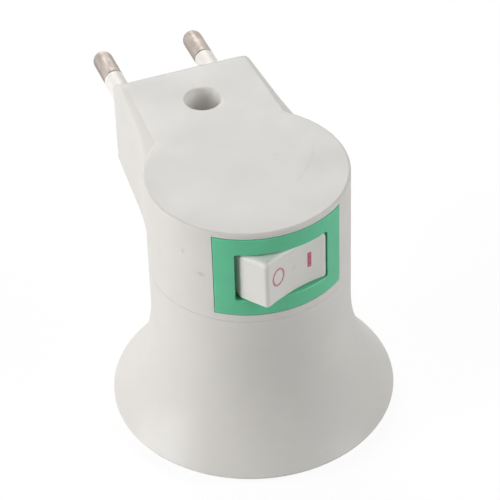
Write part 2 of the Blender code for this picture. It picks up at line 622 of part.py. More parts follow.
def make_switch_frame(look):
    """Bezel and switch body in one moulding, with the pivot holes and the terminal slots."""
    flange = sector(SEAT_RADIUS + FIT_GAP, BODY_RADIUS + BEZEL_PROUD, BEZEL_HALF_ANGLE,
                    BEZEL_LOW_Z, BEZEL_TOP_Z)
    frame = add_object("switch_frame", flange, look)
    # The switch body starts inside the curved flange, so that its walls close all round
    root = BODY_RADIUS - BEZEL_DEPTH / 3
    reach = math.asin(FRAME_HALF_WIDTH / root)
    plan = arc((0, 0), root, -math.pi / 2 - reach, -math.pi / 2 + reach, 10)
    plan += [(FRAME_HALF_WIDTH, FRAME_BACK_Y), (-FRAME_HALF_WIDTH, FRAME_BACK_Y)]
    join(frame, "switch_body_tool", prism(plan, SWITCH_Z - FRAME_HALF_HEIGHT,
                                          SWITCH_Z + FRAME_HALF_HEIGHT))
    snap_x = FRAME_HALF_WIDTH + SNAP_HEIGHT
    wall_y = -math.sqrt(BODY_BORE_RADIUS ** 2 - snap_x ** 2) + FIT_GAP
    for side in (1, -1):
        wedge = [(side * (FRAME_HALF_WIDTH - FRAME_WALL / 2), wall_y),
                 (side * snap_x, wall_y),
                 (side * (FRAME_HALF_WIDTH - FRAME_WALL / 2), wall_y + SNAP_LENGTH)]
        join(frame, "snap_tool", prism(wedge, SWITCH_Z - SNAP_HALF_WIDTH, SWITCH_Z + SNAP_HALF_WIDTH))
    cut(frame, "window_tool", box(
        (-WINDOW_HALF_WIDTH, -BODY_RADIUS * 1.2, SWITCH_Z - WINDOW_HALF_HEIGHT),
        (WINDOW_HALF_WIDTH, FRAME_INNER_Y, SWITCH_Z + WINDOW_HALF_HEIGHT)))
    reach = FRAME_HALF_HEIGHT + MM
    cut(frame, "pivot_tool", cylinder(TRUNNION_RADIUS + RUNNING_GAP, SWITCH_Z - reach,
                                      SWITCH_Z + reach, SMALL_STEPS, (0, PIVOT_Y)))
    for x in (0, -BUTTON_OFFSET):
        half_x = TERMINAL_THICKNESS / 2 + RUNNING_GAP
        half_z = TERMINAL_WIDTH / 2 + RUNNING_GAP
        cut(frame, "terminal_slot_tool", box((x - half_x, FRAME_INNER_Y - MM, SWITCH_Z - half_z),
                                             (x + half_x, FRAME_BACK_Y + MM, SWITCH_Z + half_z)))


def rocker_section():
    """Section of the rocker about its pivot: hollow front between two ridges, slanted ends."""
    span = RIDGE_HALF_SPAN
    hollow_radius = (span ** 2 + FACE_HOLLOW ** 2) / (2 * FACE_HOLLOW)
    sweep = math.asin(span / hollow_radius)
    face = arc((0, -RIDGE_REACH + FACE_HOLLOW - hollow_radius), hollow_radius,
               math.pi / 2 + sweep, math.pi / 2 - sweep, 10)
    corners = [(x, y, 0) for x, y in face[1:-1]]
    corners += [(span, -RIDGE_REACH, RIDGE_ROUND), (END_HALF_SPAN, -END_REACH, RIDGE_ROUND),
                (END_HALF_SPAN - SKIRT_DROP / 5, SKIRT_DROP, RIDGE_ROUND),
                (-END_HALF_SPAN + SKIRT_DROP / 5, SKIRT_DROP, RIDGE_ROUND),
                (-END_HALF_SPAN, -END_REACH, RIDGE_ROUND), (-span, -RIDGE_REACH, RIDGE_ROUND)]
    return rounded(corners, 3)


def make_rocker(look):
    """Rocker with trunnions on the vertical pivot and a stem for the spring and plunger."""
    section = rocker_section()
    half = ROCKER_HEIGHT / 2
    small = inset(section, ROCKER_EDGE)
    rings = [(small, -half), (section, -half + ROCKER_EDGE), (section, half - ROCKER_EDGE),
             (small, half)]
    rocker = add_object("rocker", loft([[(x, y, z) for x, y in plan] for plan, z in rings]), look)
    rocker.location = (0, PIVOT_Y, SWITCH_Z)
    rocker.rotation_euler.z = ROCKER_TILT
    inner = half - ROCKER_WALL
    span = RIDGE_HALF_SPAN - ROCKER_WALL
    roof = -RIDGE_REACH + FACE_HOLLOW + ROCKER_WALL
    hollow = [(-span, roof), (span, roof), (END_HALF_SPAN - ROCKER_WALL * 1.3, SKIRT_DROP + MM),
              (-END_HALF_SPAN + ROCKER_WALL * 1.3, SKIRT_DROP + MM)]
    reach = half + TRUNNION_LENGTH
    join(rocker, "trunnion_tool", cylinder(TRUNNION_RADIUS, -reach, reach, 16))
    cut(rocker, "rocker_hollow_tool", prism(hollow, -inner, inner))
    stem = facing_switch([(0, roof - ROCKER_WALL / 2), (STEM_RADIUS, roof - ROCKER_WALL / 2),
                          (STEM_RADIUS, STEM_REACH), (0, STEM_REACH)], 16)
    join(rocker, "stem_tool", stem)
    floor = STEM_REACH - BORE_DEPTH
    bore = facing_switch([(0, floor), (STEM_BORE_RADIUS, floor),
                          (STEM_BORE_RADIUS, STEM_REACH + MM), (0, STEM_REACH + MM)], 16)
    cut(rocker, "stem_bore_tool", bore)
    return rocker


def make_plunger_and_spring(rocker, brass, steel):
    """Round-nosed plunger and its spring, both carried in the rocker's stem."""
    head = PLUNGER_REACH - PLUNGER_LENGTH
    nose = PLUNGER_RADIUS * 0.75
    profile = [(0, head), (PLUNGER_RADIUS, head), (PLUNGER_RADIUS, STEM_REACH - MM / 2)]
    profile += arc((0, PLUNGER_REACH - nose), nose, 0, math.pi / 2, 4)
    profile[-1] = (0, PLUNGER_REACH)
    plunger = add_object("rocker_plunger", facing_switch(profile, 16), brass)
    floor = STEM_REACH - BORE_DEPTH + FIT_GAP
    room = head - FIT_GAP - floor - 2 * SPRING_WIRE_RADIUS
    points = COIL_STEPS * SPRING_TURNS
    curve = bpy.data.curves.new("rocker_spring", "CURVE")
    curve.dimensions = "3D"
    curve.bevel_depth = SPRING_WIRE_RADIUS
    curve.bevel_resolution = 1
    curve.use_fill_caps = True
    line = curve.splines.new("POLY")
    line.points.add(points)
    for index in range(points + 1):
        angle = math.tau * SPRING_TURNS * index / points
        y = floor + SPRING_WIRE_RADIUS + room * index / points
        line.points[index].co = (SPRING_RADIUS * math.cos(angle), y,
                                 SPRING_RADIUS * math.sin(angle), 1)
    curve.materials.append(steel)
    spring = bpy.data.objects.new("rocker_spring", curve)
    bpy.context.scene.collection.objects.link(spring)
    for thing in (plunger, spring):
        thing.parent = bpy.data.objects["lamp_axis"]
        thing.location = rocker.location
        thing.rotation_euler = rocker.rotation_euler


def make_contacts(brass, silver):
    """Seesaw strip, its contact button, the fixed button and the two terminals."""
    half = STRIP_THICKNESS / 2
    width = SEESAW_WIDTH / 2
    seesaw = add_object("seesaw_contact", box((-SEESAW_HALF_LENGTH, -half, -width),
                                              (SEESAW_HALF_LENGTH, half, width)), brass)
    high = BUTTON_LOW + BUTTON_HEIGHT
    builder = facing_switch([(0, BUTTON_LOW), (BUTTON_RADIUS, BUTTON_LOW),
                             (BUTTON_FACE_RADIUS, high), (0, high)], 16)
    bmesh.ops.translate(builder, verts=builder.verts, vec=(-BUTTON_OFFSET, 0, 0))
    moving = add_object("moving_contact_button", builder, silver)
    for thing in (seesaw, moving):
        thing.location = (0, SEESAW_Y, SWITCH_Z)
        thing.rotation_euler.z = -SEESAW_TILT
    builder = along_y(turned([(0, 0), (BUTTON_FACE_RADIUS, 0), (BUTTON_RADIUS, BUTTON_HEIGHT),
                              (0, BUTTON_HEIGHT)], False, 16),
                      -BUTTON_OFFSET, FIXED_BUTTON_Y, SWITCH_Z)
    add_object("fixed_contact_button", builder, silver)
    make_terminal("load_terminal", -BUTTON_OFFSET, LOAD_HEAD_Y, BUTTON_RADIUS, brass)
    make_terminal("common_terminal", 0, SEESAW_Y + half + RUNNING_GAP, TERMINAL_THICKNESS, brass)


def make_terminal(name, x, head_y, head_half, look):
    """Terminal: a head inside the switch and a tab that leaves through the base."""
    stalk = TERMINAL_THICKNESS / 2
    width = TERMINAL_WIDTH / 2
    neck = head_y + TERMINAL_THICKNESS / 2
    outline = [(x - head_half, head_y), (x + head_half, head_y), (x + head_half, neck),
               (x + stalk, neck + stalk), (x + stalk, TAB_END_Y), (x - stalk, TAB_END_Y),
               (x - stalk, neck + stalk), (x - head_half, neck)]
    add_object(name, prism(outline, SWITCH_Z - width, SWITCH_Z + width), look)


def make_socket_cup(look):
    """Insulating cup that hangs from its flange and carries the screw shell."""
    profile = [(CUP_BORE_RADIUS, CUP_MOUTH_Z), (CUP_RADIUS, CUP_MOUTH_Z),
               (CUP_RADIUS, CUP_FLANGE_Z), (CUP_FLANGE_RADIUS, CUP_FLANGE_Z),
               (CUP_FLANGE_RADIUS, CUP_FLANGE_TOP_Z), (CUP_BORE_RADIUS, CUP_FLANGE_TOP_Z),
               (CUP_BORE_RADIUS, CUP_FLOOR_TOP_Z), (0, CUP_FLOOR_TOP_Z)]
    # The floor's underside closes the section on the axis
    profile = [(0, CUP_FLOOR_Z), (CUP_BORE_RADIUS, CUP_FLOOR_Z)] + profile
    cup = add_object("socket_cup", turned(profile, False), look)
    for spot in rivet_spots():
        cut(cup, "rivet_hole_tool", cylinder(RIVET_RADIUS + RUNNING_GAP, CUP_FLOOR_Z - MM,
                                             CUP_FLOOR_TOP_Z + MM, 12, spot))


def rivet_spots():
    """Plan points of the three rivets: one for the centre contact, two for the shell."""
    return ((CONTACT_RIVET_X, 0), (0, RIVET_CIRCLE_RADIUS), (0, -RIVET_CIRCLE_RADIUS))


def thread_radius(angle, z):
    """Radius of the rolled thread: a wave that climbs one pitch in each turn."""
    phase = math.tau * (z / THREAD_PITCH) - angle
    fade = min(1, (z - SHELL_MOUTH_Z) / THREAD_PITCH * 2, (SHELL_TOP_Z - z) / THREAD_PITCH * 2)
    return THREAD_MEAN_RADIUS + THREAD_DEPTH / 2 * math.cos(phase) * max(fade, 0)


def make_screw_shell(look):
    """Threaded shell rolled from sheet, with the inward flange that is riveted to the cup."""
    rows = THREAD_ROWS * round((SHELL_TOP_Z - SHELL_MOUTH_Z) / THREAD_PITCH)
    wall_top = SHELL_TOP_Z - SHELL_THICKNESS
    builder = bmesh.new()
    rings = []

    def ring(radius_at, z):
        """One ring of points round the shell."""
        made = []
        for step in range(THREAD_STEPS):
            angle = math.tau * (step + 0.5) / THREAD_STEPS
            radius = radius_at(angle)
            made.append(builder.verts.new((radius * math.cos(angle), radius * math.sin(angle), z)))
        rings.append(made)

    for row in range(rows + 1):
        z = SHELL_MOUTH_Z + (SHELL_TOP_Z - SHELL_MOUTH_Z) * row / rows
        ring(lambda angle, z=z: thread_radius(angle, z) + SHELL_THICKNESS, z)
    ring(lambda angle: SHELL_FLANGE_RADIUS, SHELL_TOP_Z)
    ring(lambda angle: SHELL_FLANGE_RADIUS, wall_top)
    for row in range(rows, -1, -1):
        z = SHELL_MOUTH_Z + (wall_top - SHELL_MOUTH_Z) * row / rows
        ring(lambda angle, z=z: thread_radius(angle, z), z)
    for index, lower in enumerate(rings):
        upper = rings[(index + 1) % len(rings)]
        for step in range(THREAD_STEPS):
            near = (step + 1) % THREAD_STEPS
            builder.faces.new((lower[step], lower[near], upper[near], upper[step]))
    shell = add_object("screw_shell", builder, look, smooth=60)
    for spot in rivet_spots()[1:]:
        cut(shell, "shell_hole_tool", cylinder(RIVET_RADIUS + RUNNING_GAP, wall_top - MM,
                                               SHELL_TOP_Z + MM, 12, spot))


def make_rivet(name, spot, low_face, high_face, look):
    """Rivet with a head under one face and a peened head over the other."""
    low = low_face - RUNNING_GAP
    high = high_face + RUNNING_GAP
    profile = [(0, low - RIVET_HEAD_HEIGHT), (RIVET_HEAD_RADIUS * 0.7, low - RIVET_HEAD_HEIGHT),
               (RIVET_HEAD_RADIUS, low), (RIVET_RADIUS, low), (RIVET_RADIUS, high),
               (RIVET_HEAD_RADIUS * 0.9, high), (RIVET_HEAD_RADIUS * 0.6, high + RIVET_HEAD_HEIGHT),
               (0, high + RIVET_HEAD_HEIGHT)]
    builder = turned(profile, False, 12)
    bmesh.ops.translate(builder, verts=builder.verts, vec=(spot[0], spot[1], 0))
    add_object(name, builder, look)


def make_lug(name, spot, direction, look):
    """Solder lug: a flat strip under the rivet's head, with its end bent up for the wire."""
    low = CUP_FLOOR_TOP_Z + RUNNING_GAP
    high = low + STRIP_THICKNESS
    hook = LUG_LENGTH - LUG_WIDTH / 2
    section = [(-LUG_WIDTH / 2, low), (hook, low), (hook, low + LUG_LENGTH / 2),
               (hook - STRIP_THICKNESS, low + LUG_LENGTH / 2), (hook - STRIP_THICKNESS, high),
               (-LUG_WIDTH / 2, high)]
    rings = [[(u, v, z) for u, z in section] for v in (-LUG_WIDTH / 2, LUG_WIDTH / 2)]
    builder = loft(rings)
    turn = Matrix.Translation((spot[0], spot[1], 0)) @ Matrix.Rotation(direction, 4, "Z")
    bmesh.ops.transform(builder, matrix=turn, verts=builder.verts)
    lug = add_object(name, builder, look)
    cut(lug, name + "_hole_tool", cylinder(RIVET_RADIUS + RUNNING_GAP, low - MM, high + MM, 12, spot))


def make_centre_contact(look):
    """Springy strip under the cup's floor, curled down to touch the lamp's foot."""
    top = CUP_FLOOR_Z - RUNNING_GAP
    mid = top - STRIP_THICKNESS / 2
    curl = CONTACT_DROP / 2 - STRIP_THICKNESS / 2
    end_x = CONTACT_HALF_LENGTH - curl
    path = [(-CONTACT_HALF_LENGTH, mid), (end_x, mid)]
    path += arc((end_x, mid - curl), curl, math.pi / 2, -math.pi / 2, 8)[1:]
    path += [(0, mid - 2 * curl - STRIP_THICKNESS),
             (CONTACT_RIVET_X + RIVET_HEAD_RADIUS + MM, mid - 2 * curl)]
    half = STRIP_THICKNESS / 2
    sides = ([], [])
    for index, point in enumerate(path):
        before = Vector(path[max(index - 1, 0)])
        after = Vector(path[min(index + 1, len(path) - 1)])
        ahead = (after - before).normalized()
        across = Vector((-ahead.y, ahead.x)) * half
        sides[0].append(Vector(point) + across)
        sides[1].append(Vector(point) - across)
    outline = sides[0] + sides[1][::-1]
    rings = [[(point.x, y, point.y) for point in outline]
             for y in (-CONTACT_WIDTH / 2, CONTACT_WIDTH / 2)]
    contact = add_object("centre_contact", loft(rings), look)
    cut(contact, "contact_hole_tool", cylinder(RIVET_RADIUS + RUNNING_GAP, top - MM, top + MM, 12,
                                               (CONTACT_RIVET_X, 0)))


def smooth_route(route, per_span):
    """Points of a smooth curve through the route's own points."""
    ends = [route[0]] + list(route) + [route[-1]]
    points = []
    for before, start, end, after in zip(ends, ends[1:], ends[2:], ends[3:]):
        for step in range(per_span):
            t = step / per_span
            point = (start * 2 + (end - before) * t + (before * 2 - start * 5 + end * 4 - after) * t ** 2
                     + (start * 3 - before - end * 3 + after) * t ** 3) / 2
            points.append(point)
    return points + [Vector(route[-1])]


def make_wire(name, route, look):
    """Insulated wire along a smooth route between two terminals."""
    points = smooth_route([Vector(point) for point in route], 5)
    curve = bpy.data.curves.new(name, "CURVE")
    curve.dimensions = "3D"
    curve.bevel_depth = WIRE_RADIUS
    curve.bevel_resolution = 2
    curve.use_fill_caps = True
    line = curve.splines.new("POLY")
    line.points.add(len(points) - 1)
    for spot, point in zip(line.points, points):
        spot.co = (*point, 1)
    curve.materials.append(look)
    wire = bpy.data.objects.new(name, curve)
    bpy.context.scene.collection.objects.link(wire)
    wire.parent = bpy.data.objects["lamp_axis"]


def make_wires(brown, black, blue):
    """Live pin to switch, switch to centre contact, and neutral pin to screw shell."""
    tail_y = (NOSE_Y - NOSE_WALL - 2 * FIT_GAP - CARRIER_LENGTH - PIN_COLLAR_LENGTH
              - PIN_TAIL_LENGTH - WIRE_RADIUS)
    side_x = PIN_SPACING / 2
    past = RECESS_RADIUS + RECESS_WALL + 3 * WIRE_RADIUS
    tab_y = TAB_END_Y + WIRE_RADIUS + FIT_GAP
    lug_z = CUP_FLOOR_TOP_Z + LUG_LENGTH / 2 + WIRE_RADIUS + 2 * RUNNING_GAP
    hook = LUG_LENGTH - LUG_WIDTH / 2
    over_lap = SEAM_Z + LAP_HEIGHT + 3 * WIRE_RADIUS
    make_wire("wire_live", [(side_x, tail_y, PIN_Z), (past, SCREW_Y, PIN_Z),
                            (past * 0.7, (SCREW_Y + tab_y) / 2, SWITCH_Z), (0, tab_y, SWITCH_Z)], brown)
    make_wire("wire_neutral", [(-side_x, tail_y, PIN_Z), (-past, SCREW_Y, PIN_Z - 2 * WIRE_RADIUS),
                               (-past * 0.8, BODY_BORE_RADIUS, over_lap),
                               (-hook * 0.8, RIVET_CIRCLE_RADIUS, lug_z + WIRE_RADIUS),
                               (-hook * 0.75, RIVET_CIRCLE_RADIUS - WIRE_RADIUS, lug_z)], blue)
    make_wire("wire_switched", [(-BUTTON_OFFSET, tab_y, SWITCH_Z),
                                (-BUTTON_OFFSET, tab_y + 2 * WIRE_RADIUS, SWITCH_Z - 3 * WIRE_RADIUS),
                                (CONTACT_RIVET_X - hook / 2, tab_y, (SWITCH_Z + lug_z) / 2),
                                (CONTACT_RIVET_X - hook * 0.8, 0, lug_z)], black)


def build():
    """Make every piece of the holder."""
    clear_scene()
    axis = bpy.data.objects.new("lamp_axis", None)
    axis.location = (0, AXIS_Y, 0)
    bpy.context.scene.collection.objects.link(axis)
    white = material("shell_white", (0.70, 0.68, 0.64), 0.45)
    cream = material("sleeve_white", (0.88, 0.86, 0.82), 0.4)
    nickel = material("pin_nickel", (0.50, 0.45, 0.40), 0.35, 1.0)
    green = material("bezel_green", (0.09, 0.42, 0.22), 0.4)
    button = material("rocker_white", (0.72, 0.71, 0.66), 0.35)
    brass = material("contact_brass", (0.72, 0.54, 0.26), 0.3, 1.0)
    silver = material("contact_silver", (0.80, 0.80, 0.78), 0.25, 1.0)
    steel = material("screw_steel", (0.60, 0.60, 0.60), 0.35, 1.0)
    zinc = material("shell_nickel", (0.74, 0.72, 0.68), 0.3, 1.0)
    core = material("socket_black", (0.05, 0.05, 0.05), 0.5)
    brown = material("wire_brown", (0.22, 0.09, 0.04), 0.5)
    black = material("wire_black", (0.03, 0.03, 0.03), 0.5)
    blue = material("wire_blue", (0.04, 0.12, 0.40), 0.5)
    make_bell_skirt(white)
    make_upper_housing(white)
    make_pins(nickel, cream)
    make_pin_carrier(cream)
    make_housing_screw(steel)
    make_switch_frame(green)
    rocker = make_rocker(button)
    make_plunger_and_spring(rocker, brass, steel)
    make_contacts(brass, silver)
    make_socket_cup(core)
    make_screw_shell(zinc)
    make_centre_contact(brass)
    contact_spot, back_spot, front_spot = rivet_spots()
    lug_top = CUP_FLOOR_TOP_Z + RUNNING_GAP + STRIP_THICKNESS
    shell_face = SHELL_TOP_Z - SHELL_THICKNESS
    make_rivet("centre_rivet", contact_spot, CUP_FLOOR_Z - RUNNING_GAP - STRIP_THICKNESS, lug_top, brass)
    make_rivet("shell_rivet_back", back_spot, shell_face, lug_top, brass)
    make_rivet("shell_rivet_front", front_spot, shell_face, CUP_FLOOR_TOP_Z, brass)
    make_lug("centre_lug", contact_spot, math.pi, brass)
    make_lug("shell_lug", back_spot, math.pi, brass)
    make_wires(brown, black, blue)


build()
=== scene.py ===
# %% [markdown]
# A plug-in lamp holder, dressed piece by piece
#
# The object is a small white holder for a screw-cap lamp. It plugs straight into a wall socket
# with two round pins, and a rocker switch in a green frame turns the lamp on and off. The bell at
# the bottom hides the lamp's cap and is what the holder stands on here. This notebook takes the
# exact solids of every piece as its frame, replaces the ones that show with finer surfaces, and
# gives each of them the finish it has on the real product.

# %% Load the solids and the drawing helpers
import math
import bpy
import bmesh
import numpy as np
from mathutils import Matrix, Vector


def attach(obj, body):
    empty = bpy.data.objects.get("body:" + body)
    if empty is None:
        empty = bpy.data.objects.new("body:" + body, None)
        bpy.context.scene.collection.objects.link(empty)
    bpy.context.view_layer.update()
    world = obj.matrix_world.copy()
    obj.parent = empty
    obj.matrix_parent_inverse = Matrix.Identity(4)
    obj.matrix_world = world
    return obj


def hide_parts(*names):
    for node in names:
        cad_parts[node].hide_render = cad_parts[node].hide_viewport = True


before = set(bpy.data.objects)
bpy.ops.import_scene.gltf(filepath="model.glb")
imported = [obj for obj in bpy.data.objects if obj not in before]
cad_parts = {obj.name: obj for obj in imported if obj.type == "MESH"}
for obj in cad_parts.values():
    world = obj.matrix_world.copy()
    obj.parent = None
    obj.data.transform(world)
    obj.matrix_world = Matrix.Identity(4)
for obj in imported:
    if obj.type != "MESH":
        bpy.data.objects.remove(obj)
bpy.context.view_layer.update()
MM = 0.001
# The lamp axis stands upright in the holder's front part, this many metres from the frame's origin.
LAMP_AXIS = np.array([0.0, -0.015925, 0.0])
print("pieces in the frame:", len(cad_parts))

# %% [markdown]
# The camera
#
# A product photograph is taken from far away with a long lens, so that the upright walls stay
# nearly parallel. The camera here stands 45 cm from the holder and looks down on it by 40 degrees
# from the front left. Its three directions (right, up and back towards the photographer) are
# written as a rotation matrix, and the long lens keeps the mild perspective of the original.

# %% Camera
def look_from(place, right, up, back):
    """World matrix of a camera: its columns are its right, up and back directions and its place."""
    matrix = Matrix((right, up, back)).transposed().to_4x4()
    matrix.translation = place
    return matrix


CAMERA_PLACE_MM = (-114.39, -322.76, 318.91)
CAMERA_RIGHT = (0.93505, -0.35362, -0.02501)
CAMERA_UP = (0.24518, 0.59412, 0.76610)
CAMERA_BACK = (-0.25605, -0.72247, 0.64224)
scene = bpy.context.scene
lens = bpy.data.cameras.new("portrait_lens")
lens.sensor_width = 36.0
lens.lens = 172.05
lens.shift_x = 0.0006
lens.shift_y = 0.0216
lens.clip_start = 0.01
camera = bpy.data.objects.new("portrait_camera", lens)
scene.collection.objects.link(camera)
camera.matrix_world = look_from(Vector(CAMERA_PLACE_MM) * MM + Vector(LAMP_AXIS),
                                CAMERA_RIGHT, CAMERA_UP, CAMERA_BACK)
scene.camera = camera
scene.view_settings.view_transform = "Standard"
print("camera", round(Vector(CAMERA_PLACE_MM).length), "mm from the foot of the lamp axis")

# %% [markdown]
# Light and floor
#
# White plastic shows its form only through soft differences of grey. Two wide soft lamps on the
# left, one low like a window and one higher, make the left walls the lightest and leave the front
# in a calm half shade. A lamp behind lights the top, one at the front right opens the shade, a
# faint one touches the right side, and an even pale surrounding fills the rest. The floor is plain
# white. What the camera sees of it is mostly its own white, so the background stays clean while a
# trace of the holder's shadow remains. A few short helpers keep the wiring of the nodes readable.

# %% Lamps
AIM = Vector((0, 0, 0.03))
# Each lamp has its place and its width in metres, and its power in watts.
LAMPS = {"window_lamp": ((-0.75, 0.05, 0.22), 0.45, 3.55),
         "high_left_lamp": ((-0.66, -0.10, 0.50), 0.50, 1.35),
         "back_lamp": ((0.10, 0.80, 0.55), 0.60, 4.6),
         "front_right_lamp": ((0.60, -0.45, 0.45), 0.50, 3.4),
         "right_lamp": ((0.70, 0.20, 0.30), 0.50, 0.15)}


def soft_lamp(name, place, size, watts):
    """Square area lamp at a place, turned to face the aim point."""
    light = bpy.data.lights.new(name, "AREA")
    light.shape = "SQUARE"
    light.size = size
    light.energy = watts
    holder = bpy.data.objects.new(name, light)
    scene.collection.objects.link(holder)
    holder.location = place
    holder.rotation_euler = (AIM - Vector(place)).to_track_quat("-Z", "Y").to_euler()


for name, (place, size, watts) in LAMPS.items():
    soft_lamp(name, place, size, watts)
print("lamps:", len(LAMPS))


# %% Surroundings and floor
def feed(tree, entry, value):
    """Give an input a plain value, or a link from another node's socket."""
    if isinstance(value, bpy.types.NodeSocket):
        tree.links.new(value, entry)
    else:
        entry.default_value = value


def add_node(tree, kind, inputs=None):
    """Shader node of a kind, with its inputs fed."""
    node = tree.nodes.new("ShaderNode" + kind)
    for key, value in (inputs or {}).items():
        feed(tree, node.inputs[key], value)
    return node


def arithmetic(tree, operation, *values):
    """One arithmetic step on sockets or plain numbers."""
    node = add_node(tree, "Math", dict(enumerate(values)))
    node.operation = operation
    return node.outputs[0]


WHITE = (1, 1, 1, 1)
FILL = 0.04
PAPER = (0.86, 0.86, 0.86, 1)
GLOW = 1.06
GLOW_SHARE = 0.86
surroundings = bpy.data.worlds.new("pale_surroundings")
scene.world = surroundings
surroundings.use_nodes = True
sky = surroundings.node_tree
sky.nodes.clear()
ray = add_node(sky, "LightPath").outputs
seen = arithmetic(sky, "MAXIMUM", ray["Is Camera Ray"], ray["Is Glossy Ray"])
seen = arithmetic(sky, "MAXIMUM", seen, ray["Is Transmission Ray"])
fill = add_node(sky, "Background", {"Color": WHITE, "Strength": FILL})
plain = add_node(sky, "Background", {"Color": WHITE})
choice = add_node(sky, "MixShader", {0: seen, 1: fill.outputs[0], 2: plain.outputs[0]})
add_node(sky, "OutputWorld", {"Surface": choice.outputs[0]})

bpy.ops.mesh.primitive_plane_add(size=6.0, location=(0, 0, -0.0002))
floor = bpy.context.object
floor.name = "studio_floor"
floor_look = bpy.data.materials.new("studio_white")
floor_look.use_nodes = True
ground = floor_look.node_tree
ground.nodes.clear()
paper = add_node(ground, "BsdfDiffuse", {"Color": PAPER})
glow = add_node(ground, "Emission", {"Color": WHITE, "Strength": GLOW})
ray = add_node(ground, "LightPath").outputs
own_white = arithmetic(ground, "MULTIPLY", ray["Is Camera Ray"], GLOW_SHARE)
both = add_node(ground, "MixShader", {0: own_white, 1: paper.outputs[0], 2: glow.outputs[0]})
add_node(ground, "OutputMaterial", {"Surface": both.outputs[0]})
floor.data.materials.append(floor_look)
print("stage:", floor.name, "under", surroundings.name)

# %% [markdown]
# Surfaces from arrays
#
# Most pieces of the holder are either turned, like the bell and the pins, or follow a closed
# outline, like the upper housing. Both are grids of points: one direction runs round the piece and
# the other runs along its profile. One helper takes such a grid and makes a closed mesh of it.

# %% A mesh from a grid
def piece_from_grid(name, grid, loop_profile=False, sharp=30.0):
    """Mesh from an array of points [profile step, step round, xyz]; it closes round the piece.

    Neighbouring points make four-sided faces. A row whose points all coincide becomes a pole, and
    a looped profile joins its last row to its first. Doubles are merged, faces turned outward, and
    only edges bent by more than the sharp angle (degrees) stay sharp.
    """
    rows, columns = grid.shape[:2]
    index = np.arange(rows * columns).reshape(rows, columns)
    if loop_profile:
        index = np.vstack([index, index[:1]])
    near = np.roll(index, -1, axis=1)
    faces = np.stack([index[:-1], near[:-1], near[1:], index[1:]], axis=-1).reshape(-1, 4)
    mesh = bpy.data.meshes.new(name)
    mesh.from_pydata((grid.reshape(-1, 3) + LAMP_AXIS).tolist(), [], faces.tolist())
    builder = bmesh.new()
    builder.from_mesh(mesh)
    bmesh.ops.remove_doubles(builder, verts=builder.verts, dist=2e-6)
    bmesh.ops.dissolve_degenerate(builder, edges=builder.edges, dist=1e-6)
    bmesh.ops.recalc_face_normals(builder, faces=builder.faces)
    if builder.calc_volume(signed=True) < 0:
        bmesh.ops.reverse_faces(builder, faces=builder.faces)
    builder.to_mesh(mesh)
    builder.free()
    mesh.shade_smooth()
    mesh.set_sharp_from_angle(angle=math.radians(sharp))
    piece = bpy.data.objects.new(name, mesh)
    scene.collection.objects.link(piece)
    return piece


# %% Turned grids and rounded profiles
def swept(radius, height):
    """Grid of round rows: radii as an array [row, step round], and one height for each row."""
    angle = np.linspace(0, math.tau, radius.shape[1], endpoint=False)
    return np.stack([radius * np.cos(angle), radius * np.sin(angle),
                     np.broadcast_to(height[:, None], radius.shape)], axis=-1)


def turned(profile, steps):
    """Grid of a turned piece: each (radius, height) point is swept round the lamp axis."""
    profile = np.asarray(profile, float)
    return swept(np.outer(profile[:, 0], np.ones(steps)), profile[:, 1])


def soft_profile(corners, steps=6):
    """Profile through (radius, height, rounding) corners, each replaced by a tangent arc.

    For a corner P with unit directions a and b to its neighbours, the arc's centre lies on the
    bisector at rounding / sin(half angle), and the arc runs between the two tangent points.
    """
    path = []
    for before, here, after in zip(corners, corners[1:], corners[2:]):
        corner = np.array(here[:2], float)
        a = np.array(before[:2], float) - corner
        b = np.array(after[:2], float) - corner
        a, b = a / np.linalg.norm(a), b / np.linalg.norm(b)
        half = math.acos(np.clip(a @ b, -1, 1)) / 2
        if here[2] <= 0 or half > 1.55:
            path.append(corner[None])
            continue
        centre = corner + (a + b) / np.linalg.norm(a + b) * here[2] / math.sin(half)
        first = corner + a * here[2] / math.tan(half) - centre
        last = corner + b * here[2] / math.tan(half) - centre
        turn = math.atan2(first[0] * last[1] - first[1] * last[0], first @ last)
        t = np.linspace(0, turn, steps + 1)
        path.append(centre + np.stack([first[0] * np.cos(t) - first[1] * np.sin(t),
                                       first[0] * np.sin(t) + first[1] * np.cos(t)], -1))
    return np.vstack([[corners[0][:2]]] + path + [[corners[-1][:2]]])


def resample(path, longest):
    """Same path with extra points, so that no step is longer than a given length."""
    out = [path[:1]]
    for start, end in zip(path[:-1], path[1:]):
        pieces = max(1, math.ceil(np.linalg.norm(end - start) / longest))
        out.append(start + (end - start) * np.linspace(0, 1, pieces + 1)[1:, None])
    return np.vstack(out)


print("points on a path with one rounded corner:",
      len(soft_profile([(0, 0, 0), (1, 0, 0.2), (1, 1, 0)])))

# %% [markdown]
# Finishes as small recipes
#
# Every finish is one Principled shader whose colour, roughness and bump are driven by patterns in
# the piece's own coordinates. A helper keeps the wiring short: it makes noise at a real size in
# millimetres, remaps it to a useful range, and lays colours over by it. The patterns are read
# from the object itself, so they stay on the piece when it moves or the camera goes round it.

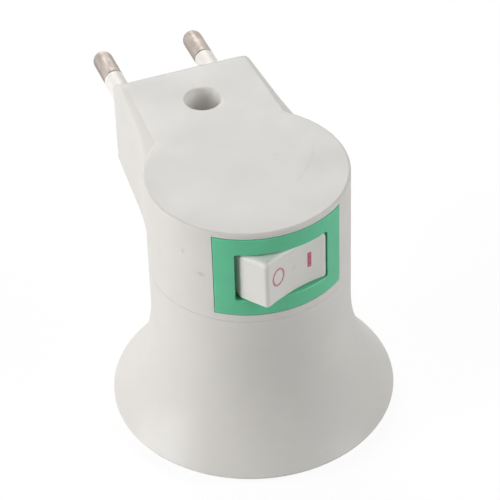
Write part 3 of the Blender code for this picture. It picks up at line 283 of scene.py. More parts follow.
# %% Material helpers
class Finish:
    """A Principled material with short calls for patterns measured in millimetres."""

    def __init__(self, name, colour, roughness, metallic=0.0):
        self.material = bpy.data.materials.new(name)
        self.material.use_nodes = True
        self.tree = self.material.node_tree
        self.shader = self.tree.nodes["Principled BSDF"]
        self.drive("Base Color", colour)
        self.drive("Roughness", roughness)
        self.drive("Metallic", metallic)
        self.place = add_node(self.tree, "TexCoord").outputs["Object"]
        self.colour = colour
        self.relief = None

    def drive(self, entry, value):
        """Give one of the shader's inputs a plain value or a pattern."""
        feed(self.tree, self.shader.inputs[entry], value)

    def mapped(self, scale, shift=(0, 0, 0)):
        """Object coordinates stretched and moved."""
        return add_node(self.tree, "Mapping", {"Vector": self.place, "Location": shift,
                                               "Scale": scale}).outputs["Vector"]

    def noise(self, size_mm, detail, rough, where=None):
        """Cloudy pattern whose blotches are about size_mm across, from 0 to 1."""
        return add_node(self.tree, "TexNoise", {"Vector": where or self.place,
                                                "Scale": 1000.0 / size_mm, "Detail": detail,
                                                "Roughness": rough}).outputs["Fac"]

    def remap(self, value, low, high, to_low=0.0, to_high=1.0):
        """Value stretched from one range to another and held inside it."""
        return add_node(self.tree, "MapRange", {"Value": value, "From Min": low,
                                                "From Max": high, "To Min": to_low,
                                                "To Max": to_high}).outputs["Result"]

    def plus(self, first, second):
        """Sum of two patterns or numbers."""
        return arithmetic(self.tree, "ADD", first, second)

    def times(self, first, *others):
        """Product of patterns and numbers."""
        for other in others:
            first = arithmetic(self.tree, "MULTIPLY", first, other)
        return first

    def distance(self, point_mm, stretch=(1, 1, 1)):
        """Distance in millimetres from a point given from the lamp axis, stretched by axis."""
        scale = np.array(stretch) * 1000.0
        shift = -(np.array(point_mm) * MM + LAMP_AXIS) * scale
        node = add_node(self.tree, "VectorMath", {0: self.mapped(tuple(scale), tuple(shift))})
        node.operation = "LENGTH"
        return node.outputs["Value"]

    def stain(self, share, tone):
        """Lay a tone over the colour so far: none where the share is 0, only the tone at 1."""
        node = add_node(self.tree, "Mix", {"Factor": share})
        node.data_type = "RGBA"
        below, above = [entry for entry in node.inputs if entry.type == "RGBA"]
        feed(self.tree, below, self.colour)
        feed(self.tree, above, tone)
        self.colour = [result for result in node.outputs if result.type == "RGBA"][0]
        self.drive("Base Color", self.colour)

    def roughen(self, pattern, low, high, least, most):
        """Roughness that goes from least to most as a pattern goes from low to high."""
        self.drive("Roughness", self.remap(pattern, low, high, least, most))

    def bump(self, height, depth_mm):
        """Relief from a height pattern; steps add to each other."""
        node = add_node(self.tree, "Bump", {"Strength": 1.0, "Distance": depth_mm * MM,
                                            "Height": height})
        if self.relief:
            feed(self.tree, node.inputs["Normal"], self.relief)
        self.relief = node.outputs["Normal"]
        self.drive("Normal", self.relief)


def srgb(red, green, blue):
    """Linear colour, with full cover, from the 0 to 255 values that a screen shows."""
    value = np.array([red, green, blue]) / 255.0
    linear = np.where(value <= 0.04045, value / 12.92, ((value + 0.055) / 1.055) ** 2.4)
    return tuple(float(part) for part in linear) + (1.0,)


def shade(colour, factor, lift=0.0):
    """Colour made darker or lighter by a factor and a small lift."""
    return tuple(min(part * factor + lift, 1.0) for part in colour[:3]) + (1.0,)


print("a middle grey of 128 is this bright in linear light:", round(srgb(128, 128, 128)[0], 3))

# %% [markdown]
# White moulded plastic
#
# The housings are injection moulded in a slightly warm white. Close up the surface is not even:
# the mould leaves a very fine grain, the gloss changes in soft patches, a few tiny specks sit in
# the plastic, and handling leaves short grey scuffs and a faint rubbed line. Each is one pattern.

# %% White plastic
# Height of the flat top, and place and radius of the screw's recess, in millimetres.
TOP = 53.7
SCREW_Y = 23.4
RECESS = 3.5


def white_plastic(name, colour, marks=(), rubs=(), recess=None):
    """Satin white with fine grain, patchy gloss and a few scuffs at (x, y, z) points in mm.

    Each mark is a point, its stretch by axis and its strength. The scuff shows where the
    stretched distance is under one millimetre, broken up by a fine noise. A rub is a faint
    thin line on the flat top, part of a circle: its centre, its radius, the middle of the part
    that shows and how far it reaches. A recess is the plan point of a deep upright hole: its
    inside is painted lighter, a painted light for the light that seeps through its thin wall.
    """
    look = Finish(name, colour, 0.42)
    patches = look.noise(14, 3, 0.55)
    fine = look.noise(0.9, 4, 0.6)
    look.stain(look.remap(patches, 0.35, 0.7), shade(colour, 0.955))
    specks = look.remap(look.noise(0.55, 1, 0.4), 0.735, 0.78)
    rare = look.remap(look.noise(6, 2, 0.5), 0.56, 0.66)
    look.stain(look.times(specks, rare, 0.2), shade(colour, 0.55))
    for point, stretch, strength in marks:
        near = look.remap(look.distance(point, stretch), 1.0, 0.35)
        broken = look.remap(look.noise(0.45, 3, 0.6), 0.42, 0.62)
        look.stain(look.times(near, broken, strength), shade(colour, 0.60))
    for centre, radius, middle, reach in rubs:
        across = look.plus(look.distance(centre, (1, 1, 0)), -radius)
        line = look.remap(arithmetic(look.tree, "ABSOLUTE", across), 0.30, 0.08)
        near = look.remap(look.distance(middle), reach, reach * 0.75)
        broken = look.remap(look.noise(1.6, 3, 0.6), 0.36, 0.52, 0.35, 1.0)
        look.stain(look.times(line, near, broken), shade(colour, 0.92))
    # Painted light: the screw's recess is painted lighter inside, standing in for light that seeps
    # through its thin wall.
    if recess:
        painted_light_inside = look.remap(look.distance((*recess, 0), (1, 1, 0)), RECESS + 0.12, RECESS + 0.02)
        look.stain(painted_light_inside, srgb(243, 241, 237))
    look.roughen(look.plus(patches, look.times(fine, 0.3)), 0.4, 0.95, 0.34, 0.52)
    look.bump(fine, 0.004)
    look.bump(look.noise(0.22, 2, 0.5), 0.0015)
    return look.material


HOUSING_WHITE = srgb(228, 225, 220)
SIDE_SCUFFS = (((-13.9, -12.8, 43.3), (0.75, 0.75, 2.0), 0.85),
               ((-16.1, -9.9, 47.2), (1.3, 1.3, 1.5), 0.7),
               ((-18.5, -3.8, 43.0), (0.9, 0.9, 0.9), 0.12))
TOP_SMUDGES = (((-0.5, -8.0, TOP), (0.6, 0.9, 1.0), 0.13),
               ((7.3, 8.7, TOP), (0.7, 1.2, 1.0), 0.11))
TOP_RUB = ((-7.0, 10.8, TOP), 22.6, (11.0, -2.7, TOP), 6.0)
upper_white = white_plastic("upper_housing_white", HOUSING_WHITE, SIDE_SCUFFS + TOP_SMUDGES,
                            (TOP_RUB,), (0, SCREW_Y))
bell_white = white_plastic("bell_white", HOUSING_WHITE)
print("housing white, linear:", [round(part, 3) for part in HOUSING_WHITE[:3]])

# %% [markdown]
# The upper housing
#
# The upper housing is the hardest form here: a short drum and a plug block that grow into each
# other, with a sloping nose and two slanted top edges that run out against the drum. Seen from the
# lamp axis its outline is never hidden behind itself, so the whole skin can be written as one
# distance from the axis for each direction. The same formula with every wall moved inward gives
# the cavity, and one closed grid holds both skins.

# %% Sizes of the upper housing
# All in millimetres, from the lamp axis and from the plane on which the rim stands.
DRUM_RADIUS = 18.9
SEAM = 33.3
NOSE_Y = 40.2
NOSE_HALF = 12.75
SIDE_TAPER = math.radians(4.4)
BLEND = 57.0
TOP_END_Y = 33.5
TOP_HALF = 12.3
TOP_TAPER = math.radians(1.5)
NOSE_SLOPE = math.radians(35.6)
EDGE_SLOPE = math.radians(40.0)
print("nose from the axis:", NOSE_Y, "mm, drum:", DRUM_RADIUS, "mm")


# %% Outline in plan
def soft_min(first, second, reach):
    """Smaller of two values, rounded over where they are closer than the reach."""
    closeness = np.maximum(reach - np.abs(first - second), 0) / reach
    return np.minimum(first, second) - closeness ** 2 * reach / 4


def housing_directions():
    """Angles from +Y round the axis: fine at the nose corners and the slanted edges."""
    half = np.concatenate([np.linspace(0, 13.5, 12, endpoint=False),
                           np.linspace(13.5, 22.5, 60, endpoint=False),
                           np.linspace(22.5, 72, 110, endpoint=False),
                           np.linspace(72, 180, 90)])
    return np.radians(np.concatenate([half, -half[-2:0:-1]]))


def blend_centre():
    """Centre of the arc that touches both the tapered side and the drum.

    It lies one blend radius beside the side line, at a distance of drum radius plus blend radius
    from the axis.
    """
    side = np.array([math.cos(SIDE_TAPER), math.sin(SIDE_TAPER)])
    down = np.array([side[1], -side[0]])
    start = np.array([NOSE_HALF, NOSE_Y]) + side * BLEND
    reach = start @ down
    spare = start @ start - (DRUM_RADIUS + BLEND) ** 2
    return start + down * (-reach - math.sqrt(reach ** 2 - spare))


def outline_radius(angle, drum, wall, nose_wall):
    """Distance from the axis to the plan outline in each direction from +Y.

    The tapered side is a straight line, the nose another, and between the side and the drum lies
    an arc that touches both. Each is met by a ray from the axis, and the farthest of drum and
    block counts.
    """
    across, ahead = np.abs(np.sin(angle)), np.cos(angle)
    side = np.array([math.cos(SIDE_TAPER), math.sin(SIDE_TAPER)])
    centre = blend_centre()
    radius = BLEND + wall
    slope = math.tan(SIDE_TAPER)
    shift = wall / math.cos(SIDE_TAPER)
    line = (NOSE_HALF - shift + slope * NOSE_Y) / (across + slope * ahead)
    nose = (NOSE_Y - nose_wall) / np.maximum(ahead, 0.05)
    along = across * centre[0] + ahead * centre[1]
    arc = along - np.sqrt(np.maximum(along ** 2 - centre @ centre + radius ** 2, 0))
    touch = centre - side * radius
    straight = np.abs(angle) < math.atan2(touch[0], touch[1])
    block = np.where(straight, soft_min(line, nose, 1.3), arc)
    in_block = np.abs(angle) < math.atan2(centre[0], centre[1])
    return np.where(in_block, np.maximum(block, drum), drum)


print("centre of the blending arc:", np.round(blend_centre(), 2), "mm from the axis")


# %% Slanted faces
def slanted_height(radius, angle, top, wall):
    """Height of the two slanted edges and the sloping nose above each plan point."""
    across, ahead = radius * np.abs(np.sin(angle)), radius * np.cos(angle)
    lift_nose = wall / math.cos(NOSE_SLOPE)
    lift_edge = wall / math.cos(EDGE_SLOPE)
    nose = TOP - lift_nose - (ahead - TOP_END_Y) * math.tan(NOSE_SLOPE)
    edge_line = TOP_HALF + math.tan(TOP_TAPER) * (TOP_END_Y - ahead)
    side = TOP - lift_edge - (across - edge_line) * math.tan(EDGE_SLOPE) * math.cos(TOP_TAPER)
    return np.minimum(soft_min(nose, side, 1.2), top)


def edge_radius(angle, wall, top):
    """Distance from the axis to the line where the slanted faces meet the flat top."""
    across, ahead = np.abs(np.sin(angle)), np.cos(angle)
    drop = TOP - top
    nose_y = TOP_END_Y + (drop - wall / math.cos(NOSE_SLOPE)) / math.tan(NOSE_SLOPE)
    half = TOP_HALF + (drop - wall / math.cos(EDGE_SLOPE)) / math.tan(EDGE_SLOPE)
    slope = math.tan(TOP_TAPER)
    side = (half + slope * TOP_END_Y) / (across + slope * ahead)
    nose = nose_y / np.maximum(ahead, 0.05)
    return np.where(ahead > 0.3, soft_min(side, nose, 1.2), 0)


print("flat top reaches", round(float(edge_radius(0.0, 0.0, TOP)), 2), "mm towards the pins")


# %% Rows of one skin
def housing_skin(drum, top, wall, nose_wall, edge, block_edge, start):
    """Rows of (radius, height) for every direction, from the foot of the wall to the middle.

    Rows climb the wall, round its upper edge, cross the slanted faces to the drum, climb what is
    left of the drum and round its rim. A part that is missing in some direction shrinks to a
    point there, and those doubles merge later.
    """
    angle = housing_directions()
    outer = outline_radius(angle, drum, wall, nose_wall)
    join = math.atan2(*blend_centre())
    beside = np.abs(angle) < join
    wedge_end = float(slanted_height(np.array(drum), np.array(join), top, wall))

    def slant(radius):
        """Height of the slanted faces beside the block, and of the wedge's end elsewhere."""
        return np.where(beside, slanted_height(radius, angle, top, wall), wedge_end)

    def soft_top(radius):
        """The slanted faces and the flat top, melted together over a third of a millimetre."""
        free = slanted_height(radius, angle, top + 9, wall)
        return np.where(beside, soft_min(free, np.full_like(free, top), 0.3), wedge_end)

    spare = np.clip(outer - drum, 0, block_edge)
    rows = [(outer, start + (slant(outer) - spare - start) * share)
            for share in np.linspace(0, 1, 9)]
    for turn in np.linspace(0, math.pi / 2, 7)[1:]:
        radius = outer - spare * (1 - math.cos(turn))
        rows.append((radius, slant(radius) - spare * (1 - math.sin(turn))))
    inner = outer - spare
    crease = edge_radius(angle, wall, top)
    block = crease > drum
    goal = np.minimum(np.maximum(crease, drum), inner)
    for share in (0.35, 0.7, 0.85, 0.95, 1.0):
        radius = inner + (goal - inner) * share
        rows.append((radius, soft_top(radius)))
    for share in (0.12, 0.25, 0.4, 0.7):
        radius = np.maximum(goal - share, np.minimum(drum, goal))
        rows.append((radius, soft_top(radius)))
    ledge = rows[-1][0]
    base = np.where(block, soft_top(ledge), slant(np.full_like(angle, drum)))
    rim = np.where(block, 0, np.minimum(edge, np.maximum(top - base, 0)))
    for share in np.linspace(0, 1, 8)[1:]:
        rows.append((ledge, base + (top - rim - base) * share * ~block))
    for turn in np.linspace(0, math.pi / 2, 8)[1:]:
        rows.append((ledge - rim * (1 - math.cos(turn)),
                     np.where(block, base, top - rim * (1 - math.sin(turn)))))
    last = rows[-1][0]
    for share in (0.9, 0.6, 0.3, 0.0):
        rows.append((last * share, np.where(block, soft_top(last * share), top)))
    return angle, np.array([row[0] for row in rows]), np.array([row[1] for row in rows])


# %% Both skins in one grid
def grid_about_axis(angle, radius, height):
    """Grid of points from angles measured from +Y, distances and heights in millimetres."""
    return np.stack([radius * np.sin(angle), radius * np.cos(angle),
                     np.broadcast_to(height, radius.shape)], axis=-1) * MM


LOW = SEAM + 0.03
LAP_TOP = LOW + 2.3
LAP_RADIUS = 17.9
BORE_RADIUS = 16.9
BORE_TOP = TOP - 2.0
angle, skin_radius, skin_height = housing_skin(DRUM_RADIUS, TOP, wall=0.0, nose_wall=0.0, edge=0.5,
                                               block_edge=0.95, start=LOW + 0.2)
_, bore_radius, bore_height = housing_skin(BORE_RADIUS, BORE_TOP, wall=1.3, nose_wall=2.0,
                                           edge=0.3, block_edge=0.3, start=LAP_TOP)
lap = np.maximum(bore_radius[0], LAP_RADIUS)
foot_rows = [(bore_radius[0], LAP_TOP), (lap, LAP_TOP), (lap, LOW), (skin_radius[0] - 0.2, LOW),
             (skin_radius[0] - 0.03, LOW + 0.03)]
rows_radius = np.vstack([bore_radius[::-1]] + [row for row, _ in foot_rows] + [skin_radius])
rows_height = np.vstack([bore_height[::-1]] + [np.full_like(lap, z) for _, z in foot_rows]
                        + [skin_height])
housing_grid = grid_about_axis(angle, rows_radius, rows_height)
upper = piece_from_grid("upper_housing_shell", housing_grid, sharp=33)
print("upper housing grid:", housing_grid.shape)

# %% [markdown]
# Holes and seats in the upper housing
#
# The mould leaves a deep round recess for the closing screw, a shallow seat for the green bezel,
# an opening for the switch behind it and two round holes for the pins. Each is a plain shape, so
# each is made as a closed tool and taken out with a Boolean, which keeps the wall one solid. The
# recess and pin hole tools are a little wider where they leave the surface, because moulded edges
# are never knife sharp.

# %% Turned tools
def turned_at(profile, centre, steps=96):
    """Turned grid about a vertical line at a plan point; the profile is (radius, height) in mm."""
    return turned(np.array(profile, float) * MM, steps) + np.array([*centre, 0.0]) * MM


def cylinder(radius, low, high):
    """Profile of a plain cylinder between two heights, closed at the axis."""
    return [(0, low), (radius, low), (radius, high), (0, high)]


def laid_down(grid):
    """Grid about the vertical axis, tipped so that its heights run along +Y."""
    return np.stack([grid[..., 0], grid[..., 2], -grid[..., 1]], axis=-1)


def turned_along_y(profile, centre, steps=64):
    """Turned grid about a line along +Y through (x, z); the profile is (radius, y) in mm."""
    return (laid_down(turned(np.array(profile, float) * MM, steps))
            + np.array([centre[0], 0.0, centre[1]]) * MM)


# %% Tools with an outline
def round_rectangle(half_width, half_height, corner, between=10):
    """Points round a rectangle with round corners, going counter-clockwise from its right side."""
    turns = np.linspace(0, math.pi / 2, 7)
    arcs = []
    for quarter, (sx, sy) in enumerate(((1, 1), (-1, 1), (-1, -1), (1, -1))):
        t = turns + quarter * math.pi / 2
        arcs.append(np.array([sx * (half_width - corner), sy * (half_height - corner)])
                    + corner * np.stack([np.cos(t), np.sin(t)], -1))
    loop = []
    for index, arc in enumerate(arcs):
        ahead = arcs[(index + 1) % 4][0]
        share = np.linspace(0, 1, between + 1)[1:-1, None]
        loop += [arc, arc[-1] + (ahead - arc[-1]) * share]
    return np.vstack(loop)


def curved_bar(inner, outer, half_angle, low, high, edge, steps=96):
    """Grid of a curved slab on the drum's front, every edge rounded by the same small radius.

    A rounded rectangle of (radius, height) is carried round the lamp axis. In the last stretch at
    each end it shrinks by edge * (1 - cos t) while it advances by edge * sin t, and then closes.
    """
    turns = np.linspace(0, math.pi / 2, 5)
    middle = (outer + inner) / 2
    tip = half_angle - edge / middle
    ends = tip + edge * np.sin(turns) / middle
    angle = np.concatenate([[-half_angle], -ends[::-1], np.linspace(-tip, tip, steps)[1:-1],
                            ends, [half_angle]])
    shrink = np.concatenate([edge * (1 - np.cos(turns[::-1])), np.zeros(steps - 2),
                             edge * (1 - np.cos(turns))])
    half_r, half_z = (outer - inner) / 2, (high - low) / 2
    loop = round_rectangle(half_r, half_z, edge, 8)
    scale = np.stack([(half_r - shrink) / half_r, (half_z - shrink) / half_z], -1)
    scale = np.vstack([[0, 0], scale, [0, 0]])
    r = middle + loop[None, :, 0] * scale[:, None, 0]
    z = (high + low) / 2 + loop[None, :, 1] * scale[:, None, 1]
    t = angle[:, None]
    return np.stack([r * np.sin(t), -r * np.cos(t), z], axis=-1) * MM


def prism(outline, low, high):
    """Closed grid of a plan outline between two heights, each end closed by its middle point."""
    outline = np.array(outline, float)
    middle = outline.mean(axis=0)
    return np.array([np.column_stack([middle + (outline - middle) * share,
                                      np.full(len(outline), z)])
                     for z, share in ((low, 0), (low, 1), (high, 1), (high, 0))])


def box_grid(low, high):
    """Grid of a plain box between two corners in mm."""
    (x0, y0, z0), (x1, y1, z1) = low, high
    return prism([[x0, y0], [x1, y0], [x1, y1], [x0, y1]], z0, z1) * MM


def at_depth(outline, y, share):
    """Row of points of an (x, z) outline, shrunk by a share and laid flat at one depth."""
    return np.stack([outline[:, 0] * share, np.full(len(outline), y),
                     SWITCH_Z + outline[:, 1] * share], -1)


print("points round a rectangle with round corners:", len(round_rectangle(2, 1, 0.2)))


# %% Cutting and dressing
def combine(piece, grids, operation="DIFFERENCE", sharp=33):
    """Boolean a piece with closed grids and put the result into the piece's own mesh."""
    tools = [piece_from_grid("tool", grid) for grid in grids]
    for tool in tools:
        step = piece.modifiers.new("tool", "BOOLEAN")
        step.operation = operation
        step.solver = "EXACT"
        step.object = tool
    graph = bpy.context.evaluated_depsgraph_get()
    made = bpy.data.meshes.new_from_object(piece.evaluated_get(graph))
    piece.modifiers.clear()
    piece.data = made
    for tool in tools:
        bpy.data.objects.remove(tool, do_unlink=True)
    made.shade_smooth()
    made.set_sharp_from_angle(angle=math.radians(sharp))
    return len(made.polygons)


def dress(piece, look, node, body):
    """Give a finished piece its look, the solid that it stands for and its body.

    Normals weighted by face area keep flat faces flat beside the small faces of their edges.
    """
    shading = piece.modifiers.new("flat_faces_stay_flat", "WEIGHTED_NORMAL")
    shading.keep_sharp = True
    piece.data.materials.clear()
    piece.data.materials.append(look)
    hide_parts(node)
    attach(piece, body)


# %% Places of screw, switch and pins
RECESS_FLOOR = TOP - 12.0
BEZEL_LOW = 35.1
BEZEL_TOP = 52.5
BEZEL_HALF = 12.09
BEZEL_ANGLE = math.asin(BEZEL_HALF / DRUM_RADIUS)
SWITCH_Z = (BEZEL_LOW + BEZEL_TOP) / 2
PIN_X = 9.5
PIN_Z = TOP - 10.6
LIP = 0.25
SHANK_HOLE = 1.65
SEAT_GAP = 0.15
print("middle of the switch:", SWITCH_Z, "mm, pins:", PIN_Z, "mm above the rim's plane")

# %% Recess, bezel seat, switch opening and pin holes
foot = RECESS_FLOOR - 1.8
tunnel = [(0, foot), (RECESS + 1.0, foot), (RECESS + 1.2, foot + 0.2), (RECESS + 1.2, TOP - 1.0),
          (0, TOP - 1.0)]
combine(upper, [turned_at(tunnel, (0, SCREW_Y))], "UNION")
recess = [(0, RECESS_FLOOR), (RECESS - 0.2, RECESS_FLOOR), (RECESS, RECESS_FLOOR + 0.2),
          (RECESS, TOP - LIP), (RECESS + 0.3 * LIP, TOP - 0.4 * LIP), (RECESS + LIP, TOP),
          (RECESS + LIP, TOP + 1), (0, TOP + 1)]
screw_hole = cylinder(SHANK_HOLE, foot - 1, RECESS_FLOOR + 1)
pin_hole = [(0, 36), (2.2, 36), (2.2, NOSE_Y - 0.12), (2.32, NOSE_Y), (2.32, NOSE_Y + 1),
            (0, NOSE_Y + 1)]
seat = curved_bar(17.7, DRUM_RADIUS + 1.4, BEZEL_ANGLE + SEAT_GAP / DRUM_RADIUS,
                  BEZEL_LOW - SEAT_GAP, BEZEL_TOP + SEAT_GAP, 0.12)
opening_outline = round_rectangle(10.3, 6.5, 0.2)
opening = np.array([at_depth(opening_outline, y, share)
                    for y, share in ((-18.6, 0), (-18.6, 1), (-12.4, 1), (-12.4, 0))]) * MM
faces = combine(upper, [turned_at(recess, (0, SCREW_Y), 128),
                        turned_at(screw_hole, (0, SCREW_Y), 48), seat, opening]
                + [turned_along_y(pin_hole, (x, PIN_Z)) for x in (-PIN_X, PIN_X)])
print("upper housing after its holes:", faces, "faces")
dress(upper, upper_white, "upper_housing", "housing")

# %% [markdown]
# The bell skirt
#
# The lower housing is one turned shell: a short spigot that slides into the upper housing, a
# straight neck, and a bell that opens faster and faster towards its rim. Its radius grows with a
# power of the distance below the neck, which gives the long straight start and the quick curl at
# the end. A tongue on its back closes the plug block from below, and a boss on it takes the screw.

# %% Section of the bell
RIM_RADIUS = 27.35
FLARE_TOP = 26.0
RIM_LIP = 1.9
BELL_WALL = 1.8


def flare(z):
    """Bell radius: the neck's radius plus the whole spread times (depth share) to the power 2.5."""
    share = np.maximum(FLARE_TOP - z, 0) / (FLARE_TOP - RIM_LIP)
    return DRUM_RADIUS + (RIM_RADIUS - DRUM_RADIUS) * share ** 2.5


def bell_section():
    """Closed (radius, height) section: spigot, neck, flare, rounded lip, inner flare and shelf.

    The inner skin is the outer one moved inward along its own normal by the wall.
    """
    z = FLARE_TOP + (RIM_LIP - FLARE_TOP) * np.linspace(0, 1, 64)
    outer = np.stack([flare(z), z, np.zeros_like(z)], -1)
    slope = (flare(z - 0.05) - flare(z + 0.05)) / 0.1
    inward = np.stack([np.ones_like(slope), slope], -1) / np.hypot(1, slope)[:, None] * BELL_WALL
    inner = outer.copy()
    inner[:, :2] -= inward
    inner = inner[inner[:, 1] > RIM_LIP]
    corners = ([(16.4, 34, 0), (16.4, 35.6, 0.15), (17.6, 35.6, 0.25), (17.6, SEAM, 0.05),
                (DRUM_RADIUS, SEAM, 0.05)] + [tuple(point) for point in outer[:-2]]
               + [(RIM_RADIUS, RIM_LIP - 0.05, 0.35), (25.35, 0, 0.12), (inner[-1, 0], 0, 0.1)]
               + [tuple(point) for point in inner[::-1]]
               + [(16.9, 29.8, 0.3), (15.2, 29.8, 0.2), (15.2, 31.5, 0.2), (16.4, 31.5, 0.15),
                  (16.4, 34, 0)])
    return resample(soft_profile(corners, 7), 1.0)[:-1]


section = bell_section()
print("bell:", len(section), "points in its section")


# %% Tongue, boss and pilot hole
def tongue_grid():
    """Grid of the tongue: the block's outline, closed along the neck, with a rounded lower edge."""
    reach = math.atan2(*blend_centre())
    angle = np.linspace(-reach, reach, 240)
    neck = np.full_like(angle, 17.1)
    turns = np.linspace(0, math.pi / 2, 6)
    inset = np.concatenate([0.6 * (1 - np.sin(turns)), [0.0, 0.1]])
    height = np.concatenate([SEAM - 1.1 - 0.6 * np.cos(turns), [SEAM - 0.12, SEAM - 0.01]])
    walls = [outline_radius(angle, DRUM_RADIUS - 0.4, step, step) for step in inset]
    rows = [np.concatenate([wall, neck]) for wall in walls]
    low, high = [(wall + neck) / 2 for wall in (walls[0], walls[-1])]
    rows = [np.concatenate([low, low[::-1]])] + rows + [np.concatenate([high, high[::-1]])]
    height = np.concatenate([height[:1], height, height[-1:]])
    return grid_about_axis(np.concatenate([angle, angle[::-1]]), np.array(rows), height[:, None])


bell = piece_from_grid("bell_skirt_shell", turned(section * MM, 256), loop_profile=True)
BOSS = 3.35
boss_foot = SEAM - 0.85
boss_top = RECESS_FLOOR - 2.1
boss = [(0, boss_foot), (BOSS, boss_foot), (BOSS, boss_top - 0.15), (BOSS - 0.15, boss_top),
        (0, boss_top)]
combine(bell, [tongue_grid(), turned_at(boss, (0, SCREW_Y), 64)], "UNION", 30)
pilot = cylinder(SHANK_HOLE, SEAM - 0.51, boss_top + 1)
faces = combine(bell, [turned_at(pilot, (0, SCREW_Y), 48)], sharp=30)
print("bell skirt:", faces, "faces")
dress(bell, bell_white, "bell_skirt", "housing")

# %% [markdown]
# The switch's green frame
#
# Bezel and switch body are one green moulding that snaps into the drum. The bezel is bent to the
# drum, so it is a slab carried round the lamp axis, and its edges are rounded by a small radius
# that catches a thin line of light. The body behind it starts inside the bezel and is cut by the
# window in which the rocker swings, by the pivot hole and by two slots for the terminals.

# %% Finishes of the switch's plastics
def moulded_colour(name, colour, rough, shift=0.93, marks=0.3):
    """Coloured moulded plastic: a soft drift of tone, fine grain, patchy gloss and rubbed spots."""
    look = Finish(name, colour, rough)
    drift = look.noise(5, 3, 0.55)
    rubbed = look.times(look.remap(look.noise(2.2, 4, 0.65), 0.58, 0.74), marks)
    look.stain(look.remap(drift, 0.3, 0.7), shade(colour, shift))
    look.stain(rubbed, shade(colour, 1.08, 0.01))
    look.roughen(look.plus(drift, look.times(rubbed, 0.6)), 0.3, 1.1, rough - 0.07, rough + 0.12)
    look.bump(look.noise(0.35, 3, 0.6), 0.0025)
    return look.material


BEZEL_GREEN = srgb(101, 208, 160)
ROCKER_WHITE = srgb(234, 232, 227)
bezel_green = moulded_colour("bezel_green_plastic", BEZEL_GREEN, 0.38)
rocker_white = moulded_colour("rocker_white_plastic", ROCKER_WHITE, 0.34, shift=0.97)
print("bezel green, linear:", [round(part, 3) for part in BEZEL_GREEN[:3]])


# %% Bezel, switch body and window
def on_front(outline, radius, share):
    """Row of points of an (x, z) outline, shrunk by a share and laid on a cylinder's front.

    A point at x lies on the cylinder of that radius at y = -sqrt(radius^2 - x^2).
    """
    x = outline[:, 0] * share
    return np.stack([x, -np.sqrt(radius ** 2 - x ** 2), SWITCH_Z + outline[:, 1] * share], -1)


FRAME_HALF = (10.0, 6.2)
WINDOW_HALF = (8.85, 5.25)
CHAMFER = 0.14
FRAME_BACK = -2.75
WINDOW_FLOOR = -4.25
BEZEL_FACE = DRUM_RADIUS + 0.15
PIVOT_Y = -12.65
CLOSING = (1, 0.95, 0.8, 0.6, 0.4, 0.2, 0)
body_outline = round_rectangle(*FRAME_HALF, 0.3)
body_rows = [at_depth(body_outline, FRAME_BACK, share) for share in (0, 1)]
body_rows += [on_front(body_outline, 18.5, share) for share in CLOSING]
window = round_rectangle(*WINDOW_HALF, 0.5)
wide_window = round_rectangle(WINDOW_HALF[0] + CHAMFER, WINDOW_HALF[1] + CHAMFER, 0.6)
window_rows = [at_depth(window, WINDOW_FLOOR, share) for share in (0, 1)]
window_rows += [on_front(window, BEZEL_FACE - CHAMFER, 1),
                on_front(wide_window, BEZEL_FACE + 0.02, 1)]
window_rows += [on_front(wide_window, 21.0, share) for share in CLOSING]
wedge = np.array([[9.45, -12.9], [10.5, -12.9], [10.5, -12.7], [9.45, -10.3]])
snaps = [prism(wedge * [side, 1], SWITCH_Z - 2, SWITCH_Z + 2) * MM for side in (1, -1)]
pivot_hole = cylinder(1.3, SWITCH_Z - 7.2, SWITCH_Z + 7.2)
slots = [box_grid((x - 0.6, WINDOW_FLOOR - 1, SWITCH_Z - 2.2),
                  (x + 0.6, FRAME_BACK + 1, SWITCH_Z + 2.2)) for x in (0.0, -3.8)]
bezel = curved_bar(18.0, BEZEL_FACE, BEZEL_ANGLE, BEZEL_LOW, BEZEL_TOP, 0.22)
frame_piece = piece_from_grid("switch_frame_moulding", bezel, sharp=40)
combine(frame_piece, [np.array(body_rows) * MM] + snaps, "UNION", 40)
faces = combine(frame_piece, [np.array(window_rows) * MM,
                              turned_at(pivot_hole, (0, PIVOT_Y), 48)] + slots, sharp=40)
print("switch frame:", faces, "faces")
dress(frame_piece, bezel_green, "switch_frame", "housing")

# %% [markdown]
# The rocker
#
# The rocker's section is drawn about its pivot: a shallow hollow face between two ridges, slanted
# ends and a short skirt inside the frame. The section is carried along the pivot's direction and
# its two edges are rounded by moving the outline inward while it advances. It stands tilted, as
# in the photograph, so the end that is pressed out shows its slanted side above the bezel.

# %% Sizes and hollow face of the rocker
ROCKER_TILT = math.radians(18.9)
PIVOT = np.array([0.0, PIVOT_Y, SWITCH_Z])
RIDGE = (6.95, -6.8)
HOLLOW_X = 5.8
FACE_DIP = 0.75
FACE_RADIUS = (RIDGE[0] ** 2 + FACE_DIP ** 2) / (2 * FACE_DIP)
ROCKER_TOP = 4.95
ROCKER_LOW = -5.15
TOP_EDGE = 1.1
LOW_EDGE = 0.4
HUB = np.array([0.0, -2.65])


def face_depth(x):
    """Depth of the hollow face: an arc of large radius that sinks by FACE_DIP at the middle."""
    return RIDGE[1] + FACE_DIP - FACE_RADIUS + np.sqrt(FACE_RADIUS ** 2 - x ** 2)


print("radius of the hollow face:", round(FACE_RADIUS, 1), "mm")


# %% Rocker body
def inset_loop(loop, distance):
    """Closed outline moved inward along the mean of its neighbouring edge normals."""
    ahead = np.roll(loop, -1, axis=0) - loop
    ahead = ahead / np.linalg.norm(ahead, axis=1)[:, None]
    normal = np.stack([-ahead[:, 1], ahead[:, 0]], -1)
    mean = normal + np.roll(normal, 1, axis=0)
    cosine = np.maximum((mean * mean).sum(axis=1) / 2, 0.5)
    return loop + mean / cosine[:, None] * distance


